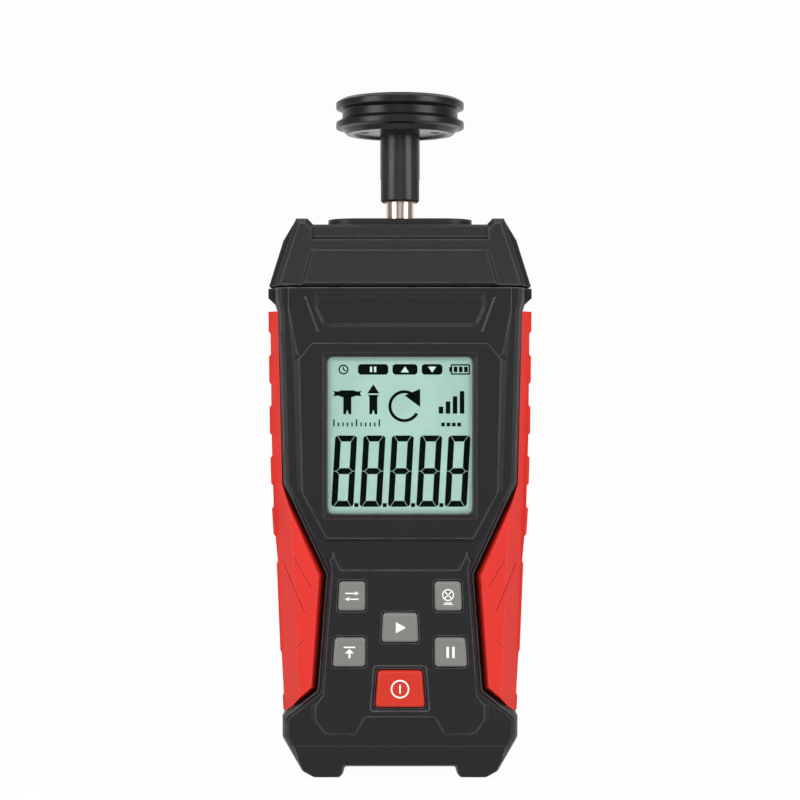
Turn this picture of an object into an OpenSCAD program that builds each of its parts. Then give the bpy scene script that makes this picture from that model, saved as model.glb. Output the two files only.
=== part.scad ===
// Handheld contact tachometer: a case with a display and six keys, two soft grips, and a head on
// top that carries the measuring wheel. Millimetres, with X to the right, Y to the back and Z up.
// The wheel turns about the Z axis, the feet stand at Z = 0, and the display faces -Y.

/* [Case] */
// Width across the two grips
body_w = 65; // [64:0.5:68]
// Height from the feet to the seam under the head
body_h = 118.9; // [118:0.1:124]
// Distance from the wheel axis to the front face
front_d = 17; // [16.8:0.1:18]
// Distance from the wheel axis to the back face
rear_d = 18; // [17.9:0.1:20]
// Wall of the case and of the head
wall = 2; // [1.7:0.1:2.1]
// How far the display panel and key panel stand above the face around them
panel_rise = 0.8; // [0.5:0.1:0.9]
// Width of the stepped rim around the front face
rim_w = 1.5; // [1:0.1:1.7]
// Depth of the front half at its sides
shell_d = 6.5; // [6.3:0.1:6.8]

/* [Grips] */
// How far the pads stand out from a grip
pad_rise = 0.45; // [0.2:0.05:0.7]
// Distance between two pads, centre to centre
pad_pitch = 12.4; // [11:0.1:12.6]
// Height of a pad
pad_h = 7.4; // [6:0.1:8.5]
// Depth of the grooves in a grip
groove_deep = 0.3; // [0.2:0.05:0.5]

/* [Display] */
// Width of the clear opening
window_w = 35.1; // [32:0.1:35.3]
// Height of the clear opening
window_h = 38; // [34:0.1:38.2]
// Height of the middle of the display above the feet
window_z = 83.1; // [82.5:0.1:84]
// Thickness of the display glass
glass_t = 1.8; // [1.2:0.1:2]

/* [Keys] */
// How far a key stands above the key panel
key_rise = 1; // [0.6:0.1:1.3]
// How far a key can be pressed
key_travel = 1; // [0.6:0.1:1.1]
// Gap around a key in its hole
key_gap = 0.25; // [0.15:0.05:0.3]
// Height of a grey key
key_h = 7.1; // [6:0.1:7.3]
// Width of an upper grey key at its top edge
key_w = 6.3; // [5.5:0.1:6.5]
// Width of a lower grey key at its top edge
key_low_w = 7.4; // [6:0.1:7.5]
// Width of the middle grey key at its top edge
key_mid_w = 8.3; // [7:0.1:8.8]
// Width of the power key at its top edge
key_power_w = 10.7; // [9:0.1:11.5]
// Height of the power key
key_power_h = 8.9; // [8:0.1:9]

/* [Battery] */
// Diameter of one cell
cell_d = 10.5; // [10.2:0.1:10.6]
// Length of one cell
cell_l = 44.5; // [43.5:0.1:45]
// Play between two cells
cell_play = 0.4; // [0.3:0.05:0.5]
// Thickness of the battery door
door_t = 2.2; // [2:0.1:2.3]

/* [Head] */
// Height of the head above the seam, to the tips of its two horns
head_h = 16.6; // [16.4:0.1:19]
// Gap at the seam between the case and the head
seam_gap = 0.5; // [0.3:0.1:0.6]
// How far the spindle platform stands above the top of the head
platform_h = 1.9; // [1.2:0.1:2.4]
// Depth of the spindle platform
platform_d = 14; // [13:0.1:16]
// Length of the spindle platform
platform_w = 35.7; // [30:0.1:38]
// Length of the tongues that hold the head on the case
tongue_l = 4.5; // [3:0.1:4.7]

/* [Spindle] */
// Diameter of the spindle in the sleeve of the wheel
spindle_d = 6.8; // [6.6:0.1:7.2]
// Bore of the two bearings
bearing_bore = 6; // [5.6:0.1:6.2]
// Outer diameter of the two bearings
bearing_d = 13; // [12.6:0.1:13.5]
// Width of one bearing
bearing_w = 3.5; // [3.2:0.1:3.7]
// Spindle that shows between the platform and the sleeve
spindle_show = 4.4; // [3:0.1:8]
// Diameter of the cross pin
pin_d = 2; // [1.5:0.1:2.4]

/* [Wheel] */
// Diameter over the two ribs of the tyre
wheel_d = 31.8; // [30:0.1:36]
// Depth of the groove between the ribs
wheel_groove = 1.55; // [1:0.05:1.8]
// Height of the wheel without its sleeve
wheel_h = 8.76; // [8.4:0.02:11]
// Outer diameter of the sleeve
sleeve_d = 9.87; // [9.5:0.01:10.6]
// Length of the sleeve below the wheel
sleeve_l = 16.9; // [15:0.1:20]

/* [Hidden] */
$fn = 96;
// Overrun of a cut through a surface
cut = 1;
half_w = body_w / 2;

// Depths along Y, from the panels at the front to the back
face_y = -front_d;
base_y = face_y + panel_rise;
inner_y = base_y + wall;
split_y = face_y + shell_d;
core_share = 0.323;
core_y = split_y - core_share * shell_d;
core_inset = 1.8;
rim_steps = 2;
back_chamfer = 6;
back_edge = 1.5;

// Outlines of the case seen from the front, right half, from the feet up. Each point is a share of
// half the width and a share of the height. The last point lies above the seam, where it is cut.
foot_shares = [[0.412, 0.0227], [0.425, 0.0084], [0.452, 0], [0.643, 0], [0.729, 0.0126]];
side_shares = [[0.883, 0.083], [0.883, 0.123], [0.837, 0.141], [0.831, 0.42], [0.889, 0.589], [0.917, 0.95]];
case_shares = concat(foot_shares, side_shares, [[0.932, 0.976], [0.932, 1]]);
shoulder_shares = concat(foot_shares, side_shares, [[0.938, 0.967], [0.99, 0.98], [0.99, 1]]);
waist_shares = [[0.877, 0.123], [0.858, 0.132], [0.628, 0.182], [0.563, 0.416], [0.874, 0.6], [0.91, 0.951],
    [0.932, 0.976], [0.932, 1.06]];
face_shares = concat(foot_shares, [[0.877, 0.083]], waist_shares);
grip_edge_shares = concat([[0.877, -0.1]], waist_shares);
hollow_shares = [[0.66, 0.0227], [0.831, 0.097], [0.831, 0.42], [0.889, 0.589], [0.923, 1]];
face_hollow_shares = [[0.585, 0.059], [0.72, 0.0925], [0.72, 0.122], [0.5415, 0.156], [0.486, 0.415],
    [0.766, 0.6], [0.809, 0.983]];

// Chin: the height where the front starts to lean back, and how far it leans down to the feet
chin_z = 0.067 * body_h;
chin_lean = 0.31 * chin_z;

// Panels of the front face, each with its outline on the face and a smaller one on its top
display_foot_shares = [[0.56, 0.4836], [0.766, 0.588], [0.797, 0.85], [0.665, 0.891]];
display_top_shares = [[0.545, 0.4895], [0.726, 0.583], [0.751, 0.8545], [0.652, 0.887]];
name_foot_shares = [[0.64, 0.83], [0.8, 0.845], [0.8355, 0.957], [0.8355, 1.06]];
name_top_shares = [[0.64, 0.834], [0.766, 0.866], [0.831, 0.959], [0.831, 1.06]];
key_foot_shares = [[0.243, 0.117], [0.314, 0.0807], [0.5385, 0.0807], [0.5815, 0.085], [0.666, 0.117],
    [0.666, 0.1514], [0.5815, 0.1724], [0.514, 0.4256], [0.5385, 0.4458], [0.4954, 0.4643],
    [0.4277, 0.4348]];
key_top_shares = [[0.2615, 0.1278], [0.332, 0.0925], [0.517, 0.0925], [0.563, 0.0967], [0.6277, 0.1211],
    [0.6277, 0.1514], [0.572, 0.1707], [0.5046, 0.4256], [0.523, 0.4441], [0.4954, 0.4558],
    [0.443, 0.4256]];
name_y = face_y + 0.375 * panel_rise;
panel_sink = wall / 4;
// Shallow recess for the nameplate, with a sloping edge, and the slanting rib beside it
plate_edge_shares = [[0.538, 0.921], [0.575, 0.925], [0.634, 0.959], [0.628, 0.989]];
plate_floor_shares = [[0.532, 0.926], [0.563, 0.9293], [0.612, 0.959], [0.6, 0.9815]];
plate_deep = 0.4;
rib_shares = [[0.6, 0.91], [0.6215, 0.91], [0.714, 0.981], [0.695, 0.981]];
rib_rise = 0.3;

// Places of the case screws and board screws: share of half the width, share of the height
case_screw_shares = [[0.754, 0.929], [0.646, 0.084]];
case_screw_d = 2.6;
case_screw_head_d = 5;
case_screw_head_h = 2;
case_screw_seat_y = 2;
case_boss_d = 7.2;
board_screw_shares = [[0.683, 0.816], [0.631, 0.143]];
board_screw_d = 1.9;
board_screw_head_d = 3.6;
board_screw_head_h = 1.2;
board_post_d = 4;

// Display parts behind the window
window_corner = 1.2;
bezel_w = 1.1;
bezel_deep = 0.6;
pane_sink = 0.2;
pane_flange_t = 1;
pane_flange_w = 1.2;
glass_edge_w = 1.35;
glass_edge_h = 1.5;
strip_t = 1.3;
frame_t = 1;
mat_t = 0.9;
board_t = 1.6;
board_y = split_y + mat_t;
board_back_y = board_y + board_t;
board_share = 0.723;
board_w = 2 * board_share * half_w;
board_low_z = 0.118 * body_h;
board_high_z = 0.893 * body_h;
glass_back_y = inner_y + glass_t;

// Keys: places as shares of half the width and of the height, and the parts behind the panel
key_near_x = 0.2566 * half_w;
key_upper_z = 0.3437 * body_h;
key_mid_z = 0.28 * body_h;
key_lower_z = 0.23 * body_h;
key_power_z = 0.148 * body_h;
key_slant = 0.35;
key_low_slant = 0.55;
key_power_slant = 0.67;
key_corner = 0.9;
key_edge = 0.5;
key_lip = 0.5;
key_lip_t = 0.8;
plunger_d = 4;
plunger_clear = 0.3;
mat_hole_d = 5.2;
mat_w = 34.8;
mat_low_z = key_power_z - 1.4;
mat_high_z = key_upper_z + key_h + 1.4;
moat_w = 1;
moat_deep = 0.45;

// Battery box, contacts and door
leaf_h = 2.6;
leaf_t = 0.4;
leaf_w = 6;
plate_t = 0.5;
contact_d = 8.6;
nub_d = 5.5;
nub_h = 1.2;
cell_pitch = cell_d + cell_play;
box_half_w = 1.5 * cell_pitch;
box_low_z = 0.185 * body_h;
box_high_z = box_low_z + leaf_h + cell_l + plate_t;
box_wall = 1.4;
cell_room_share = 1.067;
box_floor_y = rear_d - door_t - cell_room_share * cell_d;
cell_y = box_floor_y + cell_d / 2;
door_gap = 0.3;
hinge_y = rear_d - door_t / 2;
hinge_z = box_low_z + door_gap + door_t / 2;
hinge_pin_d = 1.6;
hinge_pin_l = 1.5;
hinge_play = 0.06;
door_rib_w = 1.2;
door_rib_h = 0.4;
thumb_d = 16;
thumb_deep = 0.8;

// Sensor parts under the head
sensor_board_t = 1.2;
sensor_board_w = 28;
sensor_post_share = 0.333;
sensor_low_z = 0.807 * body_h;
sensor_high_z = 0.955 * body_h;
laser_d = 6.2;
laser_l = 14;
optics_x = 6;
optics_y = 4.6;
sensor_y = optics_y + laser_d / 2;
receiver_d = 5;
receiver_l = 5;
optics_w = 24;
optics_d = 8;
optics_t = 1.2;
optics_ledge = 1;

// Head
head_z = body_h + seam_gap;
head_front_shares = [[0.947, -0.06], [0.852, 0.578], [0.7815, 1], [0.695, 1], [0.652, 0.91]];
head_rear_shares = [[0.9946, -0.06], [0.877, 0.675], [0.778, 1], [0.695, 1], [0.652, 0.91]];
head_panel_foot_shares = [[0.742, 0.006], [0.67, 0.524]];
head_panel_top_shares = [[0.705, 0.042], [0.64, 0.518]];
roof_share = 0.91;
head_hollow_shares = [[0.876, -0.12], [0.79, 0.55], [0.72, roof_share - wall / head_h]];
band_share = 0.726;
groove_share = 0.68;
horn_gap_share = 0.665;
back_slope_share = 0.45;
head_lean = 0.25;
head_panel_share = 0.25;
head_front_y = base_y - head_panel_share * panel_rise;
head_edge = 1.2;
head_edge_step = 0.15;
head_back_lean = 4.5;
head_back_y = rear_d - 2.5 * wall;
top_wall_deep = 0.8;
head_groove_deep = 1.3;
roof_z = head_z + roof_share * head_h;
ceiling_z = roof_z - wall;
platform_z = roof_z + platform_h;
base_share = 0.849;
base_w = 2 * base_share * half_w;
base_play = 0.1;
base_front_y = head_front_y + wall + head_lean * (wall - seam_gap) + base_play;
base_back_y = head_back_y - 0.2;
base_top_z = body_h + wall;
head_screw_d = 1.6;
head_screw_head_d = 3;
head_screw_head_h = 1;
head_screw_l = 5.5;
head_screw_sink = 0.2;
head_boss_d = 6;
head_small_boss_d = 3.8;
small_boss_share = 0.4;
head_boss_places = [[0.646 * half_w, 8], [0.554 * half_w, split_y - small_boss_share * head_small_boss_d]];
tongue_w = 8;
tongue_t = 1.8;
tongue_x = 0.785 * half_w;
tongue_y = 2;
tongue_play = 0.25;

// Bearings and spindle
carrier_wall = 1.4;
carrier_flange_d = 22;
carrier_flange_t = 1.6;
carrier_step = 2.3;
carrier_screw_play = 0.1;
carrier_screw_x = bearing_d / 2 + carrier_wall + head_screw_head_d / 2 + carrier_screw_play;
carrier_low_z = ceiling_z - 2 * bearing_w - carrier_step;
upper_bearing_z = ceiling_z - bearing_w;
ball_count = 8;
ball_r = 0.34 * (bearing_d - bearing_bore) / 2;
ball_play = 0.1;
ball_pitch_r = (bearing_d + bearing_bore) / 4;
race_gap = 0.57 * ball_r;
ring_t = 0.7;
ring_neck = 0.3;
ring_z = carrier_low_z - ring_t;
disc_d = 21;
disc_t = 0.8;
disc_z = base_top_z + 0.4;
spindle_hole_play = 0.4;
spindle_chamfer = 0.5;
sleeve_play = 0.05;

// Wheel: heights of the tyre profile as shares of the height of the wheel
wheel_z = platform_z + spindle_show + sleeve_l;
sleeve_z = wheel_z - sleeve_l;
tyre_shares = [0.1256, 0.171, 0.3425, 0.434, 0.662, 0.724, 0.897, 1];
tyre_t = 1.75;
rib_r = wheel_d / 2;
groove_r = rib_r - wheel_groove;
seat_r = groove_r - tyre_t;
web_z = 0.06 * wheel_h;
web_top_z = 0.31 * wheel_h;
rim_top_z = 0.96 * wheel_h;
boss_top_z = 0.91 * wheel_h;
rim_t = 1.4;
boss_r = 6.2;
lip_in = 1.15;
web_hole_d = 2.4;
bore_end = 1.2;
slot_h = 5.7;
slot_play = 0.25;
spindle_top_share = 0.6;
spindle_top_z = wheel_z + spindle_top_share * bore_end;
pin_z = sleeve_z + slot_h - slot_play - pin_d / 2;
pin_l = sleeve_d - 0.5;

// Grips: side line as shares of half the width and of the height, bevels, and lines in the surface
grip_side_shares = [[0.855, -0.1], [0.868, 0.131], [0.892, 0.254], [0.92, 0.44], [0.948, 0.524],
    [0.966, 0.69], [0.983, 1.1]];
grip_low_z = 0.1325 * body_h;
grip_high_z = 0.953 * body_h;
grip_inner_x = 0.4 * half_w;
grip_side_y = split_y + 1;
grip_back_y = 9;
grip_end_y = 11.5;
grip_end_bevel = 1.2;
grip_ridge_w = 4.1;
grip_ridge_y = base_y + 0.7;
grip_crest_w = 9.6;
grip_crest_y = base_y - 0.6;
grip_clear = 0.15;
grip_wall_w = 1.6;
pad_ramp = 0.6;
pad_top_z = 0.97 * body_h;
pad_count = 5;
pad_back_y = 8.5;
low_pad_shares = [[0.131, 0.168], [0.252, 0.44]];
low_pad_rise = 0.3;
line_w = 0.35;
grip_line_shares = [[[0.874, 0.44], [0.775, 0.38], [0.708, 0.339]], [[0.782, 0.448], [0.658, 0.39]],
    [[0.714, 0.283], [0.77, 0.268], [0.84, 0.257]]];

// Closed outline from its right half, which runs from the lowest point up
function mirrored(half) = concat(half, [for (i = [len(half) - 1:-1:0]) [-half[i][0], half[i][1]]]);
function placed(shares, z, height) = [for (p = shares) [p[0] * half_w, z + p[1] * height]];
function on_case(shares) = mirrored(placed(shares, 0, body_h));
function on_head(shares) = mirrored(placed(shares, head_z, head_h));
function unit(v) = v / norm(v);
function outward(a, b) = let (d = unit(b - a)) [d[1], -d[0]];
// The same outline with each edge moved inwards
function inset(points, depth) = let (n = len(points)) [for (i = [0:n - 1])
    let (before = outward(points[(i + n - 1) % n], points[i]))
    let (after = outward(points[i], points[(i + 1) % n]))
    points[i] - depth * (before + after) / (1 + before * after)];
// The same outline with each corner replaced by a curve that starts and ends at the given distance from it
function rounded(points, reach, steps = 4) = let (n = len(points)) [for (i = [0:n - 1])
    let (p = points[i], a = p + reach * unit(points[(i + n - 1) % n] - p))
    let (b = p + reach * unit(points[(i + 1) % n] - p))
    for (k = [0:steps]) let (t = k / steps) (1 - t) * (1 - t) * a + 2 * t * (1 - t) * p + t * t * b];

// The outline that a slope from one outline to a second reaches when it runs on by a share of its length
function beyond(first, second, run) = second + run * (second - first);

// Closed solid through levels, each [y, outline], from the front to the back. A point leans back by
// lean times its height above lean_z.
module loft(levels, lean = 0, lean_z = 0) {
    n = len(levels[0][1]);
    last = (len(levels) - 1) * n;
    polyhedron(
        points = [for (level = levels) for (p = level[1]) [p[0], level[0] + lean * (p[1] - lean_z), p[1]]],
        faces = concat(
            [[for (i = [n - 1:-1:0]) i]],
            [for (k = [0:n:last - n]) for (i = [0:n - 1]) let (j = (i + 1) % n)
                [k + i, k + j, k + n + j, k + n + i]],
            [[for (i = [0:n - 1]) last + i]]));
}

module along_y(front, back, outline) {
    translate([0, back, 0]) rotate([90, 0, 0]) linear_extrude(back - front) polygon(outline);
}

module along_x(width, outline) {
    rotate([90, 0, 90]) linear_extrude(width, center = true) polygon(outline);
}

module rod_y(front, back, d) {
    translate([0, back, 0]) rotate([90, 0, 0]) cylinder(h = back - front, d = d);
}

module rod_x(length, d) {
    rotate([0, 90, 0]) cylinder(h = length, d = d, center = true);
}

module block(low, high) {
    translate(low) cube(high - low);
}

module both_sides() {
    children();
    mirror([1, 0, 0]) children();
}

// All the room between two depths and two heights
module slab(front, back, low, high) {
    block([-body_w, front, low], [body_w, back, high]);
}

// Wedges that chamfer the upright corners and the long edges at the back
module back_wedges(low, high) {
    reach = 2 * back_chamfer;
    both_sides() translate([0, 0, low - cut]) linear_extrude(high - low + 2 * cut) polygon([
        [half_w + back_chamfer, rear_d - reach], [half_w + back_chamfer, rear_d + back_chamfer],
        [half_w - reach, rear_d + back_chamfer]]);
    near_y = rear_d - back_edge - cut;
    far_y = rear_d + cut;
    along_x(2 * body_w, [[near_y, high + cut], [far_y, high - back_edge - cut], [far_y, high + cut]]);
    along_x(2 * body_w, [[near_y, low - cut], [far_y, low - cut], [far_y, low + back_edge + cut]]);
}

// Sloping cut below the chin, which runs on above it in front of the face
module chin_cut() {
    slope = chin_z / chin_lean;
    ahead = base_y - face_y + cut;
    along_x(2 * body_w, [[face_y - cut, -cut], [base_y + chin_lean + cut / slope, -cut],
        [face_y - cut, chin_z + slope * ahead]]);
}

// Plate behind the grips, which joins the face to the sides
module side_plate() {
    along_y(core_y, split_y + cut, inset(on_case(case_shares), core_inset));
}

// Front face with its stepped rim, carried on above the seam
module face_plate() {
    face = on_case(face_shares);
    for (i = [0:rim_steps]) along_y(base_y + i / (rim_steps + 1) * (core_y - base_y), split_y + cut,
        inset(face, rim_w - i / rim_steps * rim_w));
}

// Key outlines, with the slanting sides growing towards the feet
function key_outline(left, right, low, height, left_slant, right_slant) =
    rounded([[left - left_slant, low], [right + right_slant, low],
        [right, low + height], [left, low + height]],
        key_corner);
function turned(outline) = [for (i = [len(outline) - 1:-1:0]) [-outline[i][0], outline[i][1]]];
lamp_outline = key_outline(key_near_x, key_near_x + key_w, key_upper_z, key_h, 0, key_slant);
hold_outline = key_outline(key_near_x, key_near_x + key_low_w, key_lower_z, key_h, 0, key_low_slant);
test_outline = key_outline(-key_mid_w / 2, key_mid_w / 2, key_mid_z, key_h, key_slant, key_slant);
power_outline = key_outline(-key_power_w / 2, key_power_w / 2, key_power_z, key_power_h, key_power_slant,
    key_power_slant);
key_outlines = [turned(lamp_outline), lamp_outline, test_outline, turned(hold_outline), hold_outline,
    power_outline];
function middle(outline) = let (n = len(outline), equal = [for (p = outline) 1 / n])
    [for (axis = [0, 1]) [for (p = outline) p[axis]] * equal];

module at_case_screws(shares) {
    for (p = placed(shares, 0, body_h)) both_sides() translate([p[0], 0, p[1]]) children();
}

// Outline of the clear opening with square corners, made larger all round
function window_frame(more) = let (x = window_w / 2 + more, z = window_h / 2 + more)
    [[-x, window_z - z], [x, window_z - z], [x, window_z + z], [-x, window_z + z]];
window_outline = rounded(window_frame(0), window_corner);

// Rectangle behind the window, larger than the opening by the given amounts
module behind_window(front, back, extra_w, extra_h) {
    half = window_w / 2 + extra_w;
    block([-half, front, window_z - window_h / 2 - extra_h], [half, back, window_z + window_h / 2 + extra_h]);
}

// Raised panel on the front face, with a step halfway down its sides
module panel(top_y, top_shares, foot_shares) {
    along_y(top_y, base_y + panel_sink, on_case(top_shares));
    along_y((top_y + base_y) / 2, base_y + panel_sink, on_case(foot_shares));
}

module front_panels() {
    panel(face_y, display_top_shares, display_foot_shares);
    panel(name_y, name_top_shares, name_foot_shares);
    panel(face_y, key_top_shares, key_foot_shares);
    both_sides() along_y(name_y - rib_rise, base_y + panel_sink, placed(rib_shares, 0, body_h));
}

module front_openings() {
    slope = bezel_w / bezel_deep;
    loft([[face_y - cut, window_frame(bezel_w + slope * cut)],
        [face_y + bezel_deep + panel_sink, window_frame(-slope * panel_sink)]]);
    along_y(base_y - cut, inner_y + cut, window_outline);
    behind_window(inner_y - pane_flange_t, inner_y + cut, pane_flange_w, pane_flange_w);
    for (outline = key_outlines) along_y(face_y - cut, inner_y + cut, inset(outline, -key_gap));
    along_y(face_y - cut, face_y + moat_deep, inset(power_outline, -moat_w));
    plate_floor = on_case(plate_floor_shares);
    loft([[name_y - plate_deep, beyond(plate_floor, on_case(plate_edge_shares), 1)],
        [name_y + plate_deep, plate_floor]]);
}

module front_housing() {
    color("dimgray") difference() {
        union() {
            difference() {
                intersection() {
                    union() {
                        side_plate();
                        face_plate();
                        front_panels();
                    }
                    slab(face_y - cut, split_y, -cut, body_h);
                }
                chin_cut();
                along_y(inner_y, split_y + cut, on_case(face_hollow_shares));
            }
            at_case_screws(case_screw_shares) rod_y(inner_y - wall / 4, split_y, case_boss_d);
            at_case_screws(board_screw_shares) rod_y(inner_y - wall / 4, board_y, board_post_d);
        }
        front_openings();
        at_case_screws(case_screw_shares) rod_y(inner_y + wall / 4, split_y + cut, case_screw_d);
        at_case_screws(board_screw_shares) rod_y(inner_y + wall / 4, board_y + cut, board_screw_d);
    }
}

// Room inside the rear half, around its screw bosses
module rear_room() {
    difference() {
        along_y(split_y - cut, rear_d - wall, inset(on_case(hollow_shares), wall));
        at_case_screws(case_screw_shares) rod_y(split_y, rear_d, case_boss_d);
        block([-box_half_w - box_wall, box_floor_y - box_wall, box_low_z - box_wall],
            [box_half_w + box_wall, rear_d, box_high_z + box_wall]);
        for (x = sensor_post_share * sensor_board_w * [-1, 1])
            translate([x, 0, (sensor_low_z + sensor_high_z) / 2])
                rod_y(sensor_y + sensor_board_t, rear_d, board_post_d);
    }
}

module optics_opening(ledge, low, high) {
    half = optics_w / 2 - ledge;
    deep = optics_d / 2 - ledge;
    block([-half, optics_y - deep, low], [half, optics_y + deep, high]);
}

module tongues(play, low, high) {
    both_sides() block([tongue_x - tongue_t / 2 - play, tongue_y - tongue_w / 2 - play, low],
        [tongue_x + tongue_t / 2 + play, tongue_y + tongue_w / 2 + play, high]);
}

module rear_housing() {
    color("gray") difference() {
        along_y(split_y, rear_d, on_case(shoulder_shares));
        back_wedges(0, body_h);
        rear_room();
        block([-box_half_w, box_floor_y, box_low_z], [box_half_w, rear_d + cut, box_high_z]);
        translate([0, hinge_y, hinge_z]) rod_x(2 * (box_half_w - door_gap + hinge_pin_l + hinge_play),
            hinge_pin_d + 2 * hinge_play);
        at_case_screws(case_screw_shares) {
            rod_y(split_y - cut, rear_d, case_screw_d + 2 * hinge_play);
            rod_y(case_screw_seat_y, rear_d + cut, case_screw_head_d + 2 * key_gap);
        }
        optics_opening(optics_ledge, body_h - wall - cut, body_h + cut);
        optics_opening(0, body_h - optics_t, body_h + cut);
        tongues(tongue_play, body_h - wall - cut, body_h + cut);
    }
}

// Side line of a grip at a height
function side_at(z) = lookup(z, [for (p = grip_side_shares) [p[1] * body_h, p[0] * half_w]]);
function pad_points(low, high, rise) = [[side_at(low), low], [side_at(low + pad_ramp) + rise, low + pad_ramp],
    [side_at(high - pad_ramp) + rise, high - pad_ramp], [side_at(high), high]];

module pads() {
    for (i = [0:pad_count - 1]) {
        high = pad_top_z - i * pad_pitch;
        low = high - pad_h;
        side = pad_points(low, high, pad_rise);
        along_y(grip_side_y, pad_back_y, concat(side, [[half_w / 2, high], [half_w / 2, low]]));
    }
    for (p = low_pad_shares) {
        side = pad_points(p[0] * body_h, p[1] * body_h, low_pad_rise);
        along_y(grip_side_y, pad_back_y,
            concat(side, [[half_w / 2, p[1] * body_h], [half_w / 2, p[0] * body_h]]));
    }
}

// Outer surface of both grips, before it is cut to its own room
module grip_surface() {
    outline = mirrored(placed(grip_side_shares, 0, body_h));
    loft([[grip_crest_y, inset(outline, grip_crest_w)], [grip_ridge_y, inset(outline, grip_ridge_w)],
        [grip_side_y, outline], [grip_back_y, outline], [grip_end_y, inset(outline, grip_end_bevel)]]);
}

// Narrow upright wall along a line of points
module line_wall(points) {
    for (i = [0:len(points) - 2]) {
        across = line_w / 2 * outward(points[i], points[i + 1]);
        along_y(face_y - cut, split_y, [points[i] - across, points[i] + across,
            points[i + 1] + across, points[i + 1] - across]);
    }
}

module grip_right() {
    edge = on_case(grip_edge_shares);
    color("red") difference() {
        intersection() {
            union() {
                grip_surface();
                pads();
            }
            block([grip_inner_x, face_y - cut, grip_low_z], [body_w, grip_end_y - cut / 4, grip_high_z]);
        }
        side_plate();
        along_y(split_y, rear_d, on_case(shoulder_shares));
        loft([[face_y - cut, inset(edge, -grip_wall_w)], [core_y, inset(edge, -grip_clear)],
            [grip_end_y + cut, inset(edge, -grip_clear)]]);
        difference() {
            for (shares = grip_line_shares) line_wall(placed(shares, 0, body_h));
            translate([0, groove_deep, 0]) grip_surface();
        }
    }
}

module grip_left() {
    mirror([1, 0, 0]) grip_right();
}

module display_window() {
    color("lightblue", 0.4) {
        along_y(base_y + pane_sink, inner_y - pane_flange_t, window_outline);
        behind_window(inner_y - pane_flange_t, inner_y, pane_flange_w, pane_flange_w);
    }
}

module lcd_glass() {
    color("palegreen") behind_window(inner_y, glass_back_y, glass_edge_w, glass_edge_h);
}

module lcd_backlight() {
    color("white") behind_window(glass_back_y, board_y, glass_edge_w, glass_edge_h - strip_t);
}

module zebra_strips() {
    half = window_w / 2;
    reach = window_h / 2 + glass_edge_h;
    color("pink") for (low = [window_z - reach, window_z + reach - strip_t])
        block([-half, glass_back_y, low], [half, board_y, low + strip_t]);
}

module lcd_frame() {
    color("darkgray") difference() {
        behind_window(glass_back_y, board_y, glass_edge_w + frame_t, glass_edge_h + frame_t);
        behind_window(glass_back_y - cut, board_y + cut, glass_edge_w, glass_edge_h);
    }
}

module main_board() {
    color("seagreen") difference() {
        block([-board_w / 2, board_y, board_low_z], [board_w / 2, board_back_y, board_high_z]);
        at_case_screws(board_screw_shares) rod_y(board_y - cut, board_back_y + cut, board_screw_d);
    }
}

// Chips on the back of the board: place across, place up, width, height, thickness
chips = [[0, 0.52, 10, 10, 1.4], [12, 0.34, 8, 6, 1.2], [-12, 0.37, 8, 3.5, 2], [-12, 0.73, 5, 5, 1.5]];
module board_chips() {
    color("black") for (c = chips) translate([c[0] - c[2] / 2, board_back_y, c[1] * body_h - c[3] / 2])
        cube([c[2], c[4], c[3]]);
}

buzzer_d = 12;
buzzer_h = 4.5;
module buzzer() {
    color("darkslategray") translate([board_w / 4, 0, 0.74 * body_h])
        rod_y(board_back_y, board_back_y + buzzer_h, buzzer_d);
}

module board_screws() {
    color("silver") at_case_screws(board_screw_shares) {
        rod_y(inner_y + wall / 4, board_back_y, board_screw_d);
        rod_y(board_back_y, board_back_y + board_screw_head_h, board_screw_head_d);
    }
}

module keypad_mat() {
    color("whitesmoke") difference() {
        block([-mat_w / 2, split_y, mat_low_z], [mat_w / 2, board_y, mat_high_z]);
        for (outline = key_outlines) translate([middle(outline)[0], 0, middle(outline)[1]])
            rod_y(split_y - cut, board_y + cut, mat_hole_d);
        at_case_screws(board_screw_shares) rod_y(split_y - cut, board_y + cut, board_post_d);
    }
}

module sensor_board() {
    color("seagreen") block([-sensor_board_w / 2, sensor_y, sensor_low_z],
        [sensor_board_w / 2, sensor_y + sensor_board_t, sensor_high_z]);
}

module laser_module() {
    color("goldenrod") translate([-optics_x, optics_y, sensor_high_z - laser_l]) difference() {
        cylinder(h = laser_l, d = laser_d);
        translate([0, 0, laser_l - cut]) cylinder(h = 2 * cut, d = laser_d / 2);
    }
}

module light_receiver() {
    color("darkred") translate([optics_x, sensor_y - receiver_d / 2, sensor_high_z - receiver_l]) {
        cylinder(h = receiver_l - receiver_d / 2, d = receiver_d);
        translate([0, 0, receiver_l - receiver_d / 2]) sphere(d = receiver_d);
    }
}

module optics_window() {
    color("lightblue") optics_opening(0, body_h - optics_t, body_h);
}

module at_cells() {
    for (i = [-1:1]) translate([i * cell_pitch, cell_y, 0]) children();
}

module cell() {
    cylinder(h = cell_l - nub_h, d = cell_d);
    cylinder(h = cell_l, d = nub_d);
}

// The middle cell stands the other way up
module battery_cells() {
    color("olive") translate([0, cell_y, box_low_z + leaf_h]) {
        for (x = [-cell_pitch, cell_pitch]) translate([x, 0, 0]) cell();
        translate([0, 0, cell_l]) rotate([180, 0, 0]) cell();
    }
}

module contact_leaves() {
    half = contact_d / 2;
    foot = half - leaf_t;
    color("silver") at_cells() translate([0, 0, box_low_z]) rotate([90, 0, 90])
        linear_extrude(leaf_w, center = true) difference() {
            polygon([[-half, 0], [half, 0], [half, leaf_t], [foot, leaf_t],
                [leaf_t, leaf_h], [-leaf_t, leaf_h], [-foot, leaf_t], [-half, leaf_t]]);
            polygon([[foot - 2 * leaf_t, leaf_t], [0, leaf_h - leaf_t], [2 * leaf_t - foot, leaf_t]]);
        }
}

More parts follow.
